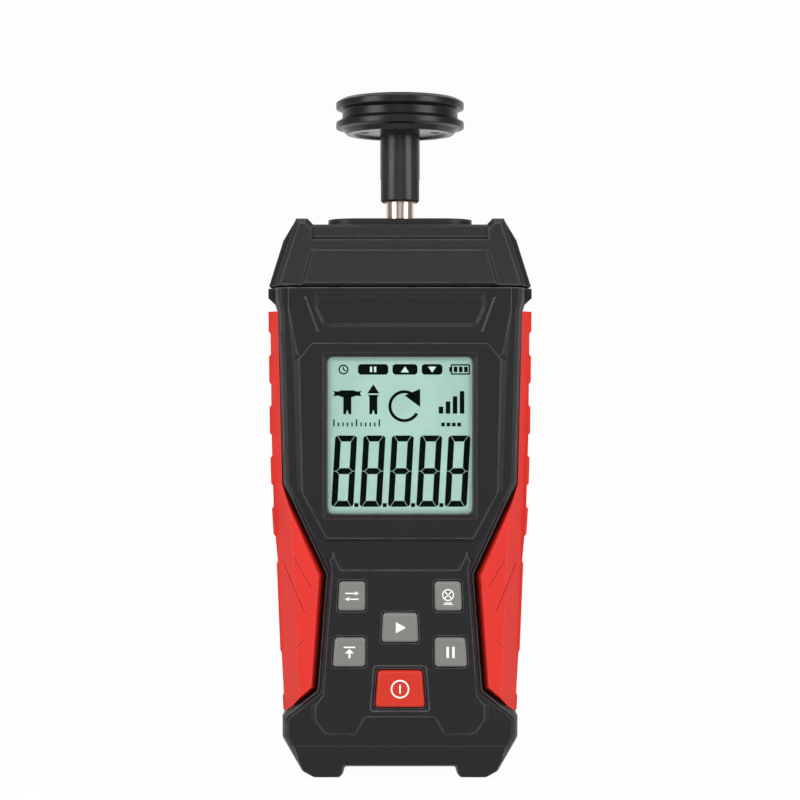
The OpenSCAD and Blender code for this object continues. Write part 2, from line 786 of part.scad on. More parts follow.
module contact_plates() {
    half = contact_d / 2;
    color("silver") at_cells() translate([-half, -half, box_high_z - plate_t])
        cube([contact_d, contact_d, plate_t]);
}

module case_screws() {
    color("silver") at_case_screws(case_screw_shares) {
        rod_y(inner_y + wall / 4, case_screw_seat_y, case_screw_d);
        rod_y(case_screw_seat_y, case_screw_seat_y + case_screw_head_h, case_screw_head_d);
    }
}

module battery_door() {
    half = box_half_w - door_gap;
    high = box_high_z - door_gap;
    color("gray") difference() {
        union() {
            block([-half, rear_d - door_t, hinge_z], [half, rear_d, high]);
            translate([0, hinge_y, hinge_z]) rod_x(2 * half, door_t);
            translate([0, hinge_y, hinge_z]) rod_x(2 * (half + hinge_pin_l), hinge_pin_d);
        }
        translate([0, 0, high - thumb_d / 2]) rod_y(rear_d - thumb_deep, rear_d + cut, thumb_d);
    }
    for (i = [1:4]) color("gray") translate([0, rear_d - thumb_deep, high - i * thumb_d / 5])
        block([-thumb_d / 4, 0, -door_rib_w / 2], [thumb_d / 4, door_rib_h, door_rib_w / 2]);
}

module key(outline) {
    top_y = face_y - key_rise;
    loft([[top_y, inset(outline, key_edge)], [top_y + key_edge, outline], [inner_y, outline]]);
    along_y(inner_y, inner_y + key_lip_t, inset(outline, -key_lip));
    translate([middle(outline)[0], 0, middle(outline)[1]])
        rod_y(inner_y, board_y - key_travel - plunger_clear, plunger_d);
}

module key_unit() { color("silver") key(key_outlines[0]); }
module key_lamp() { color("silver") key(key_outlines[1]); }
module key_test() { color("silver") key(key_outlines[2]); }
module key_max() { color("silver") key(key_outlines[3]); }
module key_hold() { color("silver") key(key_outlines[4]); }
module key_power() { color("orangered") key(key_outlines[5]); }

// Wedge that gives the back of the head its slope
module head_slope() {
    slope_z = head_z + back_slope_share * head_h;
    slope = (head_h - back_slope_share * head_h) / head_back_lean;
    along_x(2 * body_w, [[rear_d + cut, slope_z - slope * cut], [rear_d + cut, head_z + head_h + slope * cut],
        [rear_d - head_back_lean - cut, head_z + head_h + slope * cut]]);
}

module head_bosses(list, d) {
    for (p = list) both_sides() translate([p[0], p[1], base_top_z])
        cylinder(h = ceiling_z - base_top_z + wall / 2, d = d);
}

module head_screw_holes() {
    for (p = head_boss_places) both_sides() translate([p[0], p[1], base_top_z - cut])
        cylinder(h = head_screw_l + cut, d = head_screw_d);
}

// Front plane of the head at a height, and the stepped room between its horns
function head_y(z) = head_front_y + head_lean * (z - head_z);
module horn_gap() {
    ahead = head_front_y - 2 * cut;
    groove_z = head_z + groove_share * head_h;
    band_z = head_z + band_share * head_h;
    top_z = head_z + head_h + cut;
    along_x(2 * horn_gap_share * half_w, [[ahead, groove_z], [head_y(groove_z) + head_groove_deep, groove_z],
        [head_y(band_z) + head_groove_deep, band_z], [head_y(band_z) + top_wall_deep, band_z],
        [head_y(top_z) + top_wall_deep, top_z], [ahead, top_z]]);
}

module head_front_cover() {
    outline = on_head(head_front_shares);
    panel_top = on_head(head_panel_top_shares);
    hollow = on_head(head_hollow_shares);
    back_y = split_y + shell_d / 2;
    low_z = head_z - cut;
    high_z = head_z + head_h + cut;
    color("dimgray") difference() {
        union() {
            difference() {
                intersection() {
                    union() {
                        intersection() {
                            along_y(face_y - cut, split_y + cut, inset(outline, head_edge));
                            along_x(body_w, [[head_y(low_z), low_z], [split_y + cut, low_z],
                                [split_y + cut, high_z], [head_y(high_z), high_z]]);
                        }
                        loft([[head_front_y + head_edge_step, inset(outline, head_edge + head_edge_step)],
                            [head_front_y + head_edge, outline], [back_y, outline]], head_lean, head_z);
                        loft([[head_front_y - panel_rise, panel_top], [head_front_y + panel_sink,
                            beyond(panel_top, on_head(head_panel_foot_shares), panel_sink / panel_rise)]],
                            head_lean, head_z);
                    }
                    slab(face_y - cut, split_y, head_z, head_z + head_h);
                }
                loft([[head_front_y + wall, hollow], [back_y, hollow]], head_lean, head_z);
            }
            intersection() {
                head_bosses([head_boss_places[1]], head_small_boss_d);
                slab(head_front_y + wall / 2, split_y, head_z, base_top_z + head_screw_l + wall / 2);
            }
        }
        horn_gap();
        head_screw_holes();
    }
}

module stadium(length, depth, height) {
    end = (length - depth) / 2;
    translate([-end, -depth / 2, 0]) cube([2 * end, depth, height]);
    both_sides() translate([end, 0, 0]) cylinder(h = height, d = depth);
}

module head_rear_cover() {
    outline = on_head(head_rear_shares);
    hollow = on_head(head_hollow_shares);
    color("gray") difference() {
        union() {
            difference() {
                along_y(split_y, rear_d, outline);
                slab(split_y - cut, rear_d + cut, head_z - cut * wall, head_z);
                head_slope();
                back_wedges(head_z, head_z + head_h);
                along_y(split_y - cut, head_back_y, hollow);
            }
            head_bosses([head_boss_places[0]], head_boss_d);
            translate([0, 0, roof_z - wall / 2]) stadium(platform_w, platform_d, platform_h + wall / 2);
        }
        translate([0, 0, ceiling_z - cut])
            cylinder(h = platform_z - ceiling_z + 2 * cut, d = spindle_d + 2 * spindle_hole_play);
        both_sides() translate([carrier_screw_x, 0, ceiling_z - cut])
            cylinder(h = wall + cut, d = head_screw_d);
        head_screw_holes();
    }
}

module head_base() {
    color("slategray") difference() {
        union() {
            block([-base_w / 2, base_front_y, body_h], [base_w / 2, base_back_y, base_top_z]);
            tongues(0, body_h - tongue_l, base_top_z);
        }
        optics_opening(optics_ledge, body_h - cut, base_top_z + cut);
        for (p = head_boss_places) both_sides() translate([p[0], p[1], 0]) {
            translate([0, 0, body_h - cut]) cylinder(h = wall + 2 * cut, d = head_screw_d);
            translate([0, 0, body_h - cut])
                cylinder(h = cut + head_screw_sink + head_screw_head_h, d = head_screw_head_d);
        }
    }
}

module bearing_carrier() {
    bearing_r = bearing_d / 2;
    outer_r = bearing_r + carrier_wall;
    step_r = bearing_r - carrier_wall / 2;
    flange_r = carrier_flange_d / 2;
    flange_z = ceiling_z - carrier_flange_t;
    color("lightsteelblue") difference() {
        rotate_extrude() polygon([[outer_r, carrier_low_z], [outer_r, flange_z], [flange_r, flange_z],
            [flange_r, ceiling_z], [bearing_r, ceiling_z], [bearing_r, upper_bearing_z],
            [step_r, upper_bearing_z],
            [step_r, upper_bearing_z - carrier_step], [bearing_r, upper_bearing_z - carrier_step],
            [bearing_r, carrier_low_z]]);
        both_sides() translate([carrier_screw_x, 0, flange_z - cut])
            cylinder(h = carrier_flange_t + 2 * cut, d = head_screw_d);
    }
}

module at_bearings() {
    for (z = [carrier_low_z, upper_bearing_z]) translate([0, 0, z]) children();
}

// Ring between two radii, with the race that the balls run in
module race_ring(inner_r, outer_r) {
    rotate_extrude() difference() {
        translate([inner_r, 0]) square([outer_r - inner_r, bearing_w]);
        translate([ball_pitch_r, bearing_w / 2]) circle(r = ball_r + ball_play);
    }
}

module bearing_outer_rings() {
    color("silver") at_bearings() race_ring(ball_pitch_r + race_gap, bearing_d / 2);
}

module bearing_inner_rings() {
    color("silver") at_bearings() race_ring(bearing_bore / 2, ball_pitch_r - race_gap);
}

module bearing_balls() {
    color("lightgray") at_bearings() for (i = [0:ball_count - 1])
        rotate([0, 0, i * 360 / ball_count]) translate([ball_pitch_r, 0, bearing_w / 2])
            sphere(r = ball_r, $fn = 32);
}

module head_screws() {
    color("silver") {
        for (p = head_boss_places) both_sides() translate([p[0], p[1], body_h + head_screw_sink]) {
            cylinder(h = head_screw_head_h, d = head_screw_head_d);
            cylinder(h = wall - head_screw_sink + head_screw_l, d = head_screw_d);
        }
        both_sides() translate([carrier_screw_x, 0, ceiling_z - carrier_flange_t - head_screw_head_h]) {
            cylinder(h = head_screw_head_h, d = head_screw_head_d);
            cylinder(h = head_screw_head_h + carrier_flange_t + wall, d = head_screw_d);
        }
    }
}

module spindle() {
    r = spindle_d / 2;
    seat = bearing_bore / 2;
    neck = seat - ring_neck;
    color("lightsteelblue") difference() {
        rotate_extrude() polygon([[0, disc_z], [seat, disc_z], [seat, ring_z], [neck, ring_z],
            [neck, carrier_low_z], [seat, carrier_low_z], [seat, ceiling_z], [r, ceiling_z],
            [r, spindle_top_z - spindle_chamfer], [r - spindle_chamfer, spindle_top_z], [0, spindle_top_z]]);
        translate([0, 0, pin_z]) rod_x(spindle_d + 2 * cut, pin_d);
    }
}

module retaining_ring() {
    inner = bearing_bore / 2 - ring_neck;
    color("dimgray") translate([0, 0, ring_z]) difference() {
        cylinder(h = ring_t, r = ball_pitch_r - race_gap);
        translate([0, 0, -cut]) cylinder(h = ring_t + 2 * cut, r = inner);
        translate([0, -inner / 2, -cut]) cube([bearing_d, inner, ring_t + 2 * cut]);
    }
}

module drive_pin() {
    color("silver") translate([0, 0, pin_z]) rod_x(pin_l, pin_d);
}

module reflector_disc() {
    color("white") translate([0, 0, disc_z]) difference() {
        cylinder(h = disc_t, d = disc_d);
        translate([0, 0, -cut]) cylinder(h = disc_t + 2 * cut, d = bearing_bore);
    }
}

module wheel_hub() {
    bore_r = spindle_d / 2 + sleeve_play;
    sleeve_r = sleeve_d / 2;
    rim_in = seat_r - rim_t;
    lip_z = tyre_shares[0] * wheel_h;
    chamfer = spindle_chamfer;
    color("black") difference() {
        translate([0, 0, wheel_z]) rotate_extrude() polygon([[bore_r, -sleeve_l],
            [sleeve_r - chamfer, -sleeve_l], [sleeve_r, chamfer - sleeve_l], [sleeve_r, web_z],
            [rim_in, web_z], [rim_in + web_z, 0], [groove_r - lip_in, 0],
            [groove_r, lip_z], [seat_r, lip_z], [seat_r, rim_top_z], [rim_in, rim_top_z], [rim_in, web_top_z],
            [boss_r, web_top_z], [boss_r, boss_top_z], [0, boss_top_z], [0, bore_end], [bore_r, bore_end]]);
        for (angle = [0:90:270]) rotate([0, 0, angle]) translate([(boss_r + rim_in) / 2, 0, wheel_z - cut])
            cylinder(h = web_top_z + 2 * cut, d = web_hole_d);
        half = pin_d / 2 + slot_play;
        block([-sleeve_d, -half, sleeve_z - cut], [sleeve_d, half, sleeve_z + slot_h]);
    }
}

module wheel_tyre() {
    z = tyre_shares * wheel_h;
    color("#222222") translate([0, 0, wheel_z]) rotate_extrude() polygon([[seat_r, z[0]],
        [groove_r, z[0]], [rib_r, z[1]], [rib_r, z[2]], [groove_r, z[3]], [groove_r, z[4]],
        [rib_r, z[5]], [rib_r, z[6]], [groove_r, z[7]], [seat_r, z[7]]]);
}

front_housing();
rear_housing();
grip_left();
grip_right();
display_window();
lcd_glass();
lcd_backlight();
lcd_frame();
zebra_strips();
main_board();
board_chips();
buzzer();
board_screws();
keypad_mat();
sensor_board();
laser_module();
light_receiver();
optics_window();
battery_cells();
contact_leaves();
contact_plates();
case_screws();
battery_door();
key_unit();
key_lamp();
key_test();
key_max();
key_hold();
key_power();
head_front_cover();
head_rear_cover();
head_base();
bearing_carrier();
bearing_outer_rings();
bearing_balls();
head_screws();
spindle();
bearing_inner_rings();
retaining_ring();
drive_pin();
reflector_disc();
wheel_hub();
wheel_tyre();
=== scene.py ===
from math import radians

import bmesh
import bpy
import numpy as np
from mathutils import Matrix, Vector, geometry


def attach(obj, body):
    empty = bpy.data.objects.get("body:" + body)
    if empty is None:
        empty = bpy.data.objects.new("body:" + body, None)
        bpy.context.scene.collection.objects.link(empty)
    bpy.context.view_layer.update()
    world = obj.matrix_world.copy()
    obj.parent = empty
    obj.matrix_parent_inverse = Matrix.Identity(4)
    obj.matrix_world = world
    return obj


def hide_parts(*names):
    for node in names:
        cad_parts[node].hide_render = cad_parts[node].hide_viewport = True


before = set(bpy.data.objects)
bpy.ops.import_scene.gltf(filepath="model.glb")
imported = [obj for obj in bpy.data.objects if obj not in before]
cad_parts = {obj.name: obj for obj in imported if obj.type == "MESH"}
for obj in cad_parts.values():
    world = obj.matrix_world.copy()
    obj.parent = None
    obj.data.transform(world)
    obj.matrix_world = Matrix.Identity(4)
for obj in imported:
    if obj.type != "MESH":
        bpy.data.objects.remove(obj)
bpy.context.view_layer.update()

# Front half of the case: a black ABS moulding with a sloping rim, a panel around the display, one with a
# shallow recess above it, and one around the keys. It is built here plate by plate, in millimetres, because
# its edges are rounded and its rim has a groove that catches the light.
mm = 0.001
half_width, case_height = 32.5, 118.9
face_y, name_y, base_y, inner_y, split_y = -17.0, -16.7, -16.2, -14.2, -10.5
scene = bpy.context.scene
scene.view_settings.view_transform = "Standard"


def mirrored(half):
    """Closed outline: the given right half from the lowest point up, then the same points at -x, reversed."""
    half = np.asarray(half, float)
    return np.vstack([half, half[::-1] * [-1, 1]])


def on_case(shares):
    """Shares of half the case's width and of its height, times those sizes, as a mirrored outline."""
    return mirrored(np.asarray(shares) * [half_width, case_height])


def inset(outline, depth):
    """Each edge moved inwards by depth: a corner moves along the sum of the normals of its two edges."""
    ahead = np.roll(outline, -1, 0) - outline
    ahead = ahead / np.linalg.norm(ahead, axis=1, keepdims=True)
    normal = np.stack([ahead[:, 1], -ahead[:, 0]], 1)
    before = np.roll(normal, 1, 0)
    return outline - depth * (before + normal) / (1 + (before * normal).sum(1, keepdims=True))


def level(outline, y):
    """The outline's points (x, z) as points in space (x, y, z), all at depth y."""
    return np.insert(np.asarray(outline, float), 1, y, axis=1)


reach_share = 0.45


def profile(levels, fillet, steps=4):
    """Rows of points through the levels. An inner level becomes the curve (1-t)^2 a + 2t(1-t) p + t^2 b
    from a, a fillet's length before it, to b, a fillet's length after it."""
    points = np.asarray(levels, float)
    t = np.linspace(0, 1, steps)[:, None, None]
    rows = [points[:1]]
    for before, here, after in zip(points, points[1:], points[2:]):
        sides = [np.linalg.norm(end - here, axis=1).mean() for end in (before, after)]
        reach = [min(reach_share, fillet / side) for side in sides]
        a, b = here + reach[0] * (before - here), here + reach[1] * (after - here)
        rows.append((1 - t) ** 2 * a + 2 * t * (1 - t) * here + t ** 2 * b)
    return np.concatenate(rows + [points[-1:]])


def cornered(rows, reach, steps=5):
    """The rows with each corner p of their outline replaced by the curve between the points at reach
    on both sides of it, at most reach_share of the edge away. reach may have one value for each row."""
    t = np.linspace(0, 1, steps)[:, None]
    reach = np.asarray(reach, float).reshape(-1, 1, 1)
    ends = []
    for shift in (1, -1):
        away = np.roll(rows, shift, 1) - rows
        length = np.linalg.norm(away, axis=2, keepdims=True)
        ends.append(rows + away * np.minimum(reach_share, reach / np.maximum(length, 1e-9)))
    a, b, p = ends[0][:, :, None], ends[1][:, :, None], rows[:, :, None]
    curve = (1 - t) ** 2 * a + 2 * t * (1 - t) * p + t ** 2 * b
    return curve.reshape(len(rows), -1, 3)


def grid(rows, count, start, closed_rows=False):
    """Quads between neighbouring rows of a grid whose rows are closed loops of count points."""
    r, i = np.meshgrid(np.arange(rows if closed_rows else rows - 1), np.arange(count), indexing="ij")
    j, below = (i + 1) % count, (r + 1) % rows
    quads = [r * count + i, r * count + j, below * count + j, below * count + i]
    return (start + np.stack(quads, -1).reshape(-1, 4)).tolist()


def filled(loops, starts):
    """Triangles that fill the flat area inside the first loop and outside the others."""
    index = np.concatenate([s + np.arange(len(loop)) for s, loop in zip(starts, loops)])
    corners = geometry.tessellate_polygon([[Vector(p) for p in loop] for loop in loops])
    return index[np.array(corners)].tolist()


weld = 1e-7


def solid(name, vertices, faces, smooth=35.0):
    """A closed piece from points in millimetres, smooth up to the given angle between its faces."""
    mesh = bpy.data.meshes.new(name)
    mesh.from_pydata((np.asarray(vertices) * mm).tolist(), [], faces)
    piece = bpy.data.objects.new(name, mesh)
    scene.collection.objects.link(piece)
    shape = bmesh.new()
    shape.from_mesh(mesh)
    bmesh.ops.remove_doubles(shape, verts=shape.verts, dist=weld)
    bmesh.ops.recalc_face_normals(shape, faces=shape.faces)
    shape.to_mesh(mesh)
    shape.free()
    return shaded(piece, smooth)


def shaded(piece, smooth):
    """Smooth faces with sharp edges past an angle, and normals that lean towards the larger faces."""
    piece.data.shade_smooth()
    piece.data.set_sharp_from_angle(angle=radians(smooth))
    weigh = piece.modifiers.new("normals", "WEIGHTED_NORMAL")
    weigh.keep_sharp = True
    return piece


def plate(name, outer, holes=()):
    """A closed plate. outer is the grid of its side from the back to the front, and each hole is a
    grid from the front inwards with True where it goes through to the back."""
    grids = [outer] + [rows for rows, _ in holes]
    starts = np.cumsum([0] + [len(g) * g.shape[1] for g in grids])
    faces = sum((grid(len(g), g.shape[1], s) for g, s in zip(grids, starts)), [])
    last = [starts[0] + (len(outer) - 1) * outer.shape[1]]
    faces += filled([outer[-1]] + [rows[0] for rows, _ in holes], last + list(starts[1:-1]))
    ends = [(s + (len(g) - 1) * g.shape[1], g[-1]) for g, s in zip(grids[1:], starts[1:])]
    open_ends = [end for end, (_, through) in zip(ends, holes) if through]
    faces += filled([outer[0]] + [loop for _, loop in open_ends], [0] + [s for s, _ in open_ends])
    for (s, loop), (_, through) in zip(ends, holes):
        if not through:
            faces += filled([loop], [s])
    return solid(name, np.concatenate([g.reshape(-1, 3) for g in grids]), faces)


def trimmed(piece, point, normal):
    """Cuts off what lies beyond a plane through the point and closes the cut."""
    shape = bmesh.new()
    shape.from_mesh(piece.data)
    everything = shape.verts[:] + shape.edges[:] + shape.faces[:]
    cut = bmesh.ops.bisect_plane(shape, geom=everything, dist=weld, plane_co=Vector(point) * mm,
                                 plane_no=normal, clear_outer=True)
    edges = [part for part in cut["geom_cut"] if isinstance(part, bmesh.types.BMEdge)]
    bmesh.ops.edgeloop_fill(shape, edges=edges)
    bmesh.ops.recalc_face_normals(shape, faces=shape.faces)
    shape.to_mesh(piece.data)
    shape.free()


face_outline = on_case([[0.412, 0.0227], [0.425, 0.0084], [0.452, 0], [0.643, 0], [0.729, 0.0126],
                        [0.877, 0.083], [0.877, 0.123], [0.858, 0.132], [0.628, 0.182], [0.563, 0.416],
                        [0.874, 0.6], [0.91, 0.951], [0.932, 0.976], [0.932, 1.06]])
display_foot = on_case([[0.56, 0.4836], [0.766, 0.588], [0.797, 0.85], [0.665, 0.891]])
display_top = on_case([[0.545, 0.4895], [0.726, 0.583], [0.751, 0.8545], [0.652, 0.887]])
name_foot = on_case([[0.588, 0.874], [0.6, 0.83], [0.64, 0.83], [0.8, 0.845], [0.8355, 0.957],
                     [0.8355, 1.06]])
name_top = on_case([[0.592, 0.878], [0.606, 0.834], [0.64, 0.834], [0.766, 0.866], [0.831, 0.959],
                    [0.831, 1.06]])
key_foot = on_case([[0.243, 0.117], [0.314, 0.0807], [0.5385, 0.0807], [0.5815, 0.085], [0.666, 0.117],
                    [0.666, 0.1514], [0.5815, 0.1724], [0.514, 0.4256], [0.5385, 0.4458],
                    [0.4954, 0.4643], [0.4277, 0.4348]])
key_top = on_case([[0.2615, 0.1278], [0.332, 0.0925], [0.517, 0.0925], [0.563, 0.0967], [0.6277, 0.1211],
                   [0.6277, 0.1514], [0.572, 0.1707], [0.5046, 0.4256], [0.523, 0.4441],
                   [0.4954, 0.4558], [0.443, 0.4256]])
recess_top = on_case([[0.538, 0.921], [0.575, 0.925], [0.634, 0.959], [0.628, 0.989]])
recess_floor = on_case([[0.532, 0.926], [0.563, 0.9293], [0.612, 0.959], [0.6, 0.9815]])
window_w, window_h, window_z = 35.1, 38.0, 83.1


def window_frame(more):
    """Rectangle of the clear opening, larger by more all round, from its lower left corner."""
    x, z = window_w / 2 + more, window_h / 2 + more
    return np.array([[-x, window_z - z], [x, window_z - z], [x, window_z + z], [-x, window_z + z]])


def key_outline(left, low, width, height, left_slant, right_slant):
    """Four corners of a key: its top edge is width long and its sides spread towards the feet."""
    right = left + width
    return np.array([[left - left_slant, low], [right + right_slant, low], [right, low + height],
                     [left, low + height]])


side_key_x, key_height, key_gap, key_corner = 8.34, 7.1, 0.25, 0.9
upper_width, middle_width, lower_width = 6.3, 8.3, 7.4
upper_slant, lower_slant = 0.35, 0.55
power_width, power_height, power_slant = 10.7, 8.9, 0.67
upper_z, middle_z, lower_z, power_z = np.array([0.3437, 0.28, 0.23, 0.148]) * case_height
key_outlines = {
    "key_unit": key_outline(-side_key_x - upper_width, upper_z, upper_width, key_height, upper_slant, 0),
    "key_lamp": key_outline(side_key_x, upper_z, upper_width, key_height, 0, upper_slant),
    "key_test": key_outline(-middle_width / 2, middle_z, middle_width, key_height, upper_slant, upper_slant),
    "key_max": key_outline(-side_key_x - lower_width, lower_z, lower_width, key_height, lower_slant, 0),
    "key_hold": key_outline(side_key_x, lower_z, lower_width, key_height, 0, lower_slant),
    "key_power": key_outline(-power_width / 2, power_z, power_width, power_height, power_slant, power_slant),
}
sink, sunk_share = 0.5, 0.6
shoulder_w, shoulder_h, shoulder_fillet = 0.12, 0.25, 0.12
crest_w, crest_fillet, panel_corner = 0.3, 0.16, 0.35


def panel(name, top_y, top, low, holes=()):
    """A raised panel: its side slopes from the foot outline up to a steep shoulder and the top outline,
    and below its foot it goes on into the plate."""
    sunk = level(low + sunk_share * (low - top), base_y + sink)
    shoulder, crest = level(inset(top, -shoulder_w), top_y + shoulder_h), level(top, top_y)
    side = profile([sunk, level(low, base_y), shoulder, crest], shoulder_fillet)
    edge = profile([shoulder, crest, level(inset(top, crest_w), top_y)], crest_fillet)
    return plate(name, cornered(np.concatenate([side[:-1], edge[1:]]), panel_corner), holes)


def well(outline, first_y, last_y, edge=0.15):
    """A hole's side from the front face down, with a rounded edge."""
    rows = profile([level(inset(outline, -2 * edge), first_y), level(outline, first_y),
                    level(outline, last_y)], edge)
    return cornered(rows, key_corner)


bezel_w, bezel_lip, bezel_depth, bezel_fillet = 1.1, 0.2, 0.6, 0.1
lip_corner, window_corner = 0.3, 1.6
bezel_rows = profile([level(window_frame(bezel_w + bezel_lip), face_y), level(window_frame(bezel_w), face_y),
                      level(window_frame(0), face_y + bezel_depth), level(window_frame(0), split_y)],
                     bezel_fillet)
bezel_corners = np.interp(bezel_rows[:, 0, 1], [face_y, face_y + bezel_depth], [lip_corner, window_corner])
bezel = cornered(bezel_rows, bezel_corners)

# The rim of the front, from the joint with the rear half: inset and depth of each level.
rim = [(0.0, split_y), (0.0, -13.4), (0.45, -14.9), (0.6, -15.15), (0.75, -15.15), (1.3, -16.05),
       (1.5, base_y), (1.9, base_y)]
rim_fillet, case_corner = 0.14, 0.5
outer = cornered(profile([level(inset(face_outline, depth), y) for depth, y in rim], rim_fillet), case_corner)
pocket_gap, window_play = 0.4, 0.3
pockets = [(well(inset(outline, -key_gap - pocket_gap), base_y, split_y), True)
           for outline in key_outlines.values()]
window_rows = np.stack([level(window_frame(window_play), y) for y in (base_y, split_y)])
window_hole = cornered(window_rows, case_corner)

# The power key stands in a shallow moat, the others in plain wells.
moat_w, moat_lip, moat_depth, moat_fillet = 1.0, 0.3, 0.45, 0.12
moat = inset(key_outlines["key_power"], -moat_w)
power_hole = inset(key_outlines["key_power"], -key_gap)
power_well = cornered(profile([level(inset(moat, -moat_lip), face_y), level(moat, face_y),
                               level(moat, face_y + moat_depth), level(power_hole, face_y + moat_depth),
                               level(power_hole, base_y + sink)], moat_fillet), key_corner)
key_wells = [(well(inset(outline, -key_gap), face_y, base_y + sink), True)
             for name, outline in key_outlines.items() if name != "key_power"]
recess_lip, recess_depth, floor_inset, recess_fillet, recess_corner = 0.2, 0.4, 0.3, 0.1, 0.3
recess = cornered(profile([level(inset(recess_top, -recess_lip), name_y), level(recess_top, name_y),
                           level(recess_floor, name_y + recess_depth),
                           level(inset(recess_floor, floor_inset), name_y + recess_depth)],
                          recess_fillet), recess_corner)
front_face = plate("front_face", outer, [(window_hole, True)] + pockets)
display_panel = panel("display_panel", face_y, display_top, display_foot, [(bezel, True)])
name_panel = panel("name_panel", name_y, name_top, name_foot, [(recess, False)])
key_panel = panel("key_panel", face_y, key_top, key_foot, key_wells + [(power_well, True)])
front_pieces = [front_face, display_panel, name_panel, key_panel]

# Two thin ribs beside the recess: inset of each level, and its depth from the panel.
rib_levels = [(0.0, 0.2), (0.05, -0.2), (0.25, -0.3)]
rib_fillet, rib_corner = 0.1, 0.15
rib_shares = np.array([[0.6, 0.91], [0.6215, 0.91], [0.714, 0.981], [0.695, 0.981]])
right_rib = rib_shares * [half_width, case_height]
for side, rib in (("left", right_rib[::-1] * [-1, 1]), ("right", right_rib)):
    rows = profile([level(inset(rib, depth), name_y + y) for depth, y in rib_levels], rib_fillet)
    front_pieces.append(plate(f"name_rib_{side}", cornered(rows, rib_corner)))

# Both tall pieces end at the seam of the head, and the chin of the front slopes back to the feet.
chin_share, chin_slope = 0.067, 0.31
for piece in (front_face, name_panel):
    trimmed(piece, (0, 0, case_height), (0, 0, 1))
trimmed(front_face, (0, base_y, chin_share * case_height), (0, -1, -chin_slope))


def paint(red, green, blue):
    """Linear colour of a paint given as it looks on a screen, 0 to 255: c/12.92, or ((c+0.055)/1.055)^2.4."""
    c = np.array([red, green, blue]) / 255
    return (*np.where(c < 0.04045, c / 12.92, ((c + 0.055) / 1.055) ** 2.4), 1.0)


def effect(name, inputs, outputs):
    """An empty node group with named number inputs and outputs."""
    group = bpy.data.node_groups.new(name, "ShaderNodeTree")
    for title, value in inputs.items():
        group.interface.new_socket(title, in_out="INPUT", socket_type="NodeSocketFloat").default_value = value
    for title in outputs:
        group.interface.new_socket(title, in_out="OUTPUT", socket_type="NodeSocketFloat")
    return group, group.nodes.new("NodeGroupInput"), group.nodes.new("NodeGroupOutput")


def node(tree, kind, inputs=(), **settings):
    """A node with its settings and input values; an input that is an output socket is linked."""
    made = tree.nodes.new("ShaderNode" + kind)
    for key, value in settings.items():
        setattr(made, key, value)
    for key, value in dict(inputs).items():
        if isinstance(value, bpy.types.NodeSocket):
            tree.links.new(value, made.inputs[key])
        else:
            made.inputs[key].default_value = value
    return made


def reckon(tree, operation, *values, **settings):
    """Result of a Math node on the given numbers or output sockets."""
    return node(tree, "Math", dict(enumerate(values)), operation=operation, **settings).outputs[0]


def blended(tree, share, first, second):
    """Colour that goes from the first to the second as the share goes from 0 to 1."""
    return node(tree, "Mix", {"Factor": share, 6: first, 7: second}, data_type="RGBA").outputs[2]


# Moulded grain: the fine spark-eroded texture of the mould, the broad unevenness of the moulding, and
# smudges from hands.
grain_group, given, result = effect("moulded_grain", {"Grain size": 0.2, "Smudge size": 14.0},
                                    ["Grain", "Cloud", "Smudge"])
place = node(grain_group, "TexCoord").outputs["Object"]
fine_scale = reckon(grain_group, "DIVIDE", 1 / mm, given.outputs["Grain size"])
broad_scale = reckon(grain_group, "DIVIDE", 1 / mm, given.outputs["Smudge size"])
fine = node(grain_group, "TexNoise", {"Vector": place, "Scale": fine_scale, "Detail": 2.0, "Roughness": 0.6})
cloud = node(grain_group, "TexNoise", {"Vector": place, "Scale": broad_scale, "Detail": 3.0})
smudge = node(grain_group, "TexNoise", {"Vector": place, "Scale": broad_scale, "Detail": 5.0,
                                        "Roughness": 0.7, "Distortion": 1.2})
smudged = node(grain_group, "MapRange", {"Value": smudge.outputs[0], "From Min": 0.42, "From Max": 0.68})
grain_group.links.new(fine.outputs[0], result.inputs["Grain"])
grain_group.links.new(cloud.outputs[0], result.inputs["Cloud"])
grain_group.links.new(smudged.outputs[0], result.inputs["Smudge"])

# Edge wear and painted edge highlight: where the normal of a narrow bevel departs from that of the surface
# there is an edge, and it is painted a little lighter, in broken patches: partly rubbed wear, partly a
# painted highlight for the light that rounded edges catch. On flat ground the two normals are alike.
edge_find_radius, alike_on_flat, alike_on_edge = 0.4, 0.998, 0.95
wear_and_glint_group, given, result = effect("edge_wear_and_glint", {"Amount": 0.5, "Patch size": 3.0}, ["Worn"])
place = node(wear_and_glint_group, "TexCoord").outputs["Object"]
facing = node(wear_and_glint_group, "NewGeometry").outputs["Normal"]
bent = node(wear_and_glint_group, "Bevel", {"Radius": edge_find_radius * mm}, samples=6).outputs[0]
alike = node(wear_and_glint_group, "VectorMath", {0: facing, 1: bent}, operation="DOT_PRODUCT").outputs["Value"]
raised = node(wear_and_glint_group, "MapRange", {"Value": alike, "From Min": alike_on_flat,
                                       "From Max": alike_on_edge}).outputs[0]
patch_scale = reckon(wear_and_glint_group, "DIVIDE", 1 / mm, given.outputs["Patch size"])
patch = node(wear_and_glint_group, "TexNoise", {"Vector": place, "Scale": patch_scale, "Detail": 4.0}).outputs[0]
broken = node(wear_and_glint_group, "MapRange", {"Value": patch, "From Min": 0.2, "From Max": 0.5}).outputs[0]
both = reckon(wear_and_glint_group, "MULTIPLY", raised, broken)
amount = reckon(wear_and_glint_group, "MULTIPLY", both, given.outputs["Amount"], use_clamp=True)
wear_and_glint_group.links.new(amount, result.inputs["Worn"])
varnish_rough = 0.04


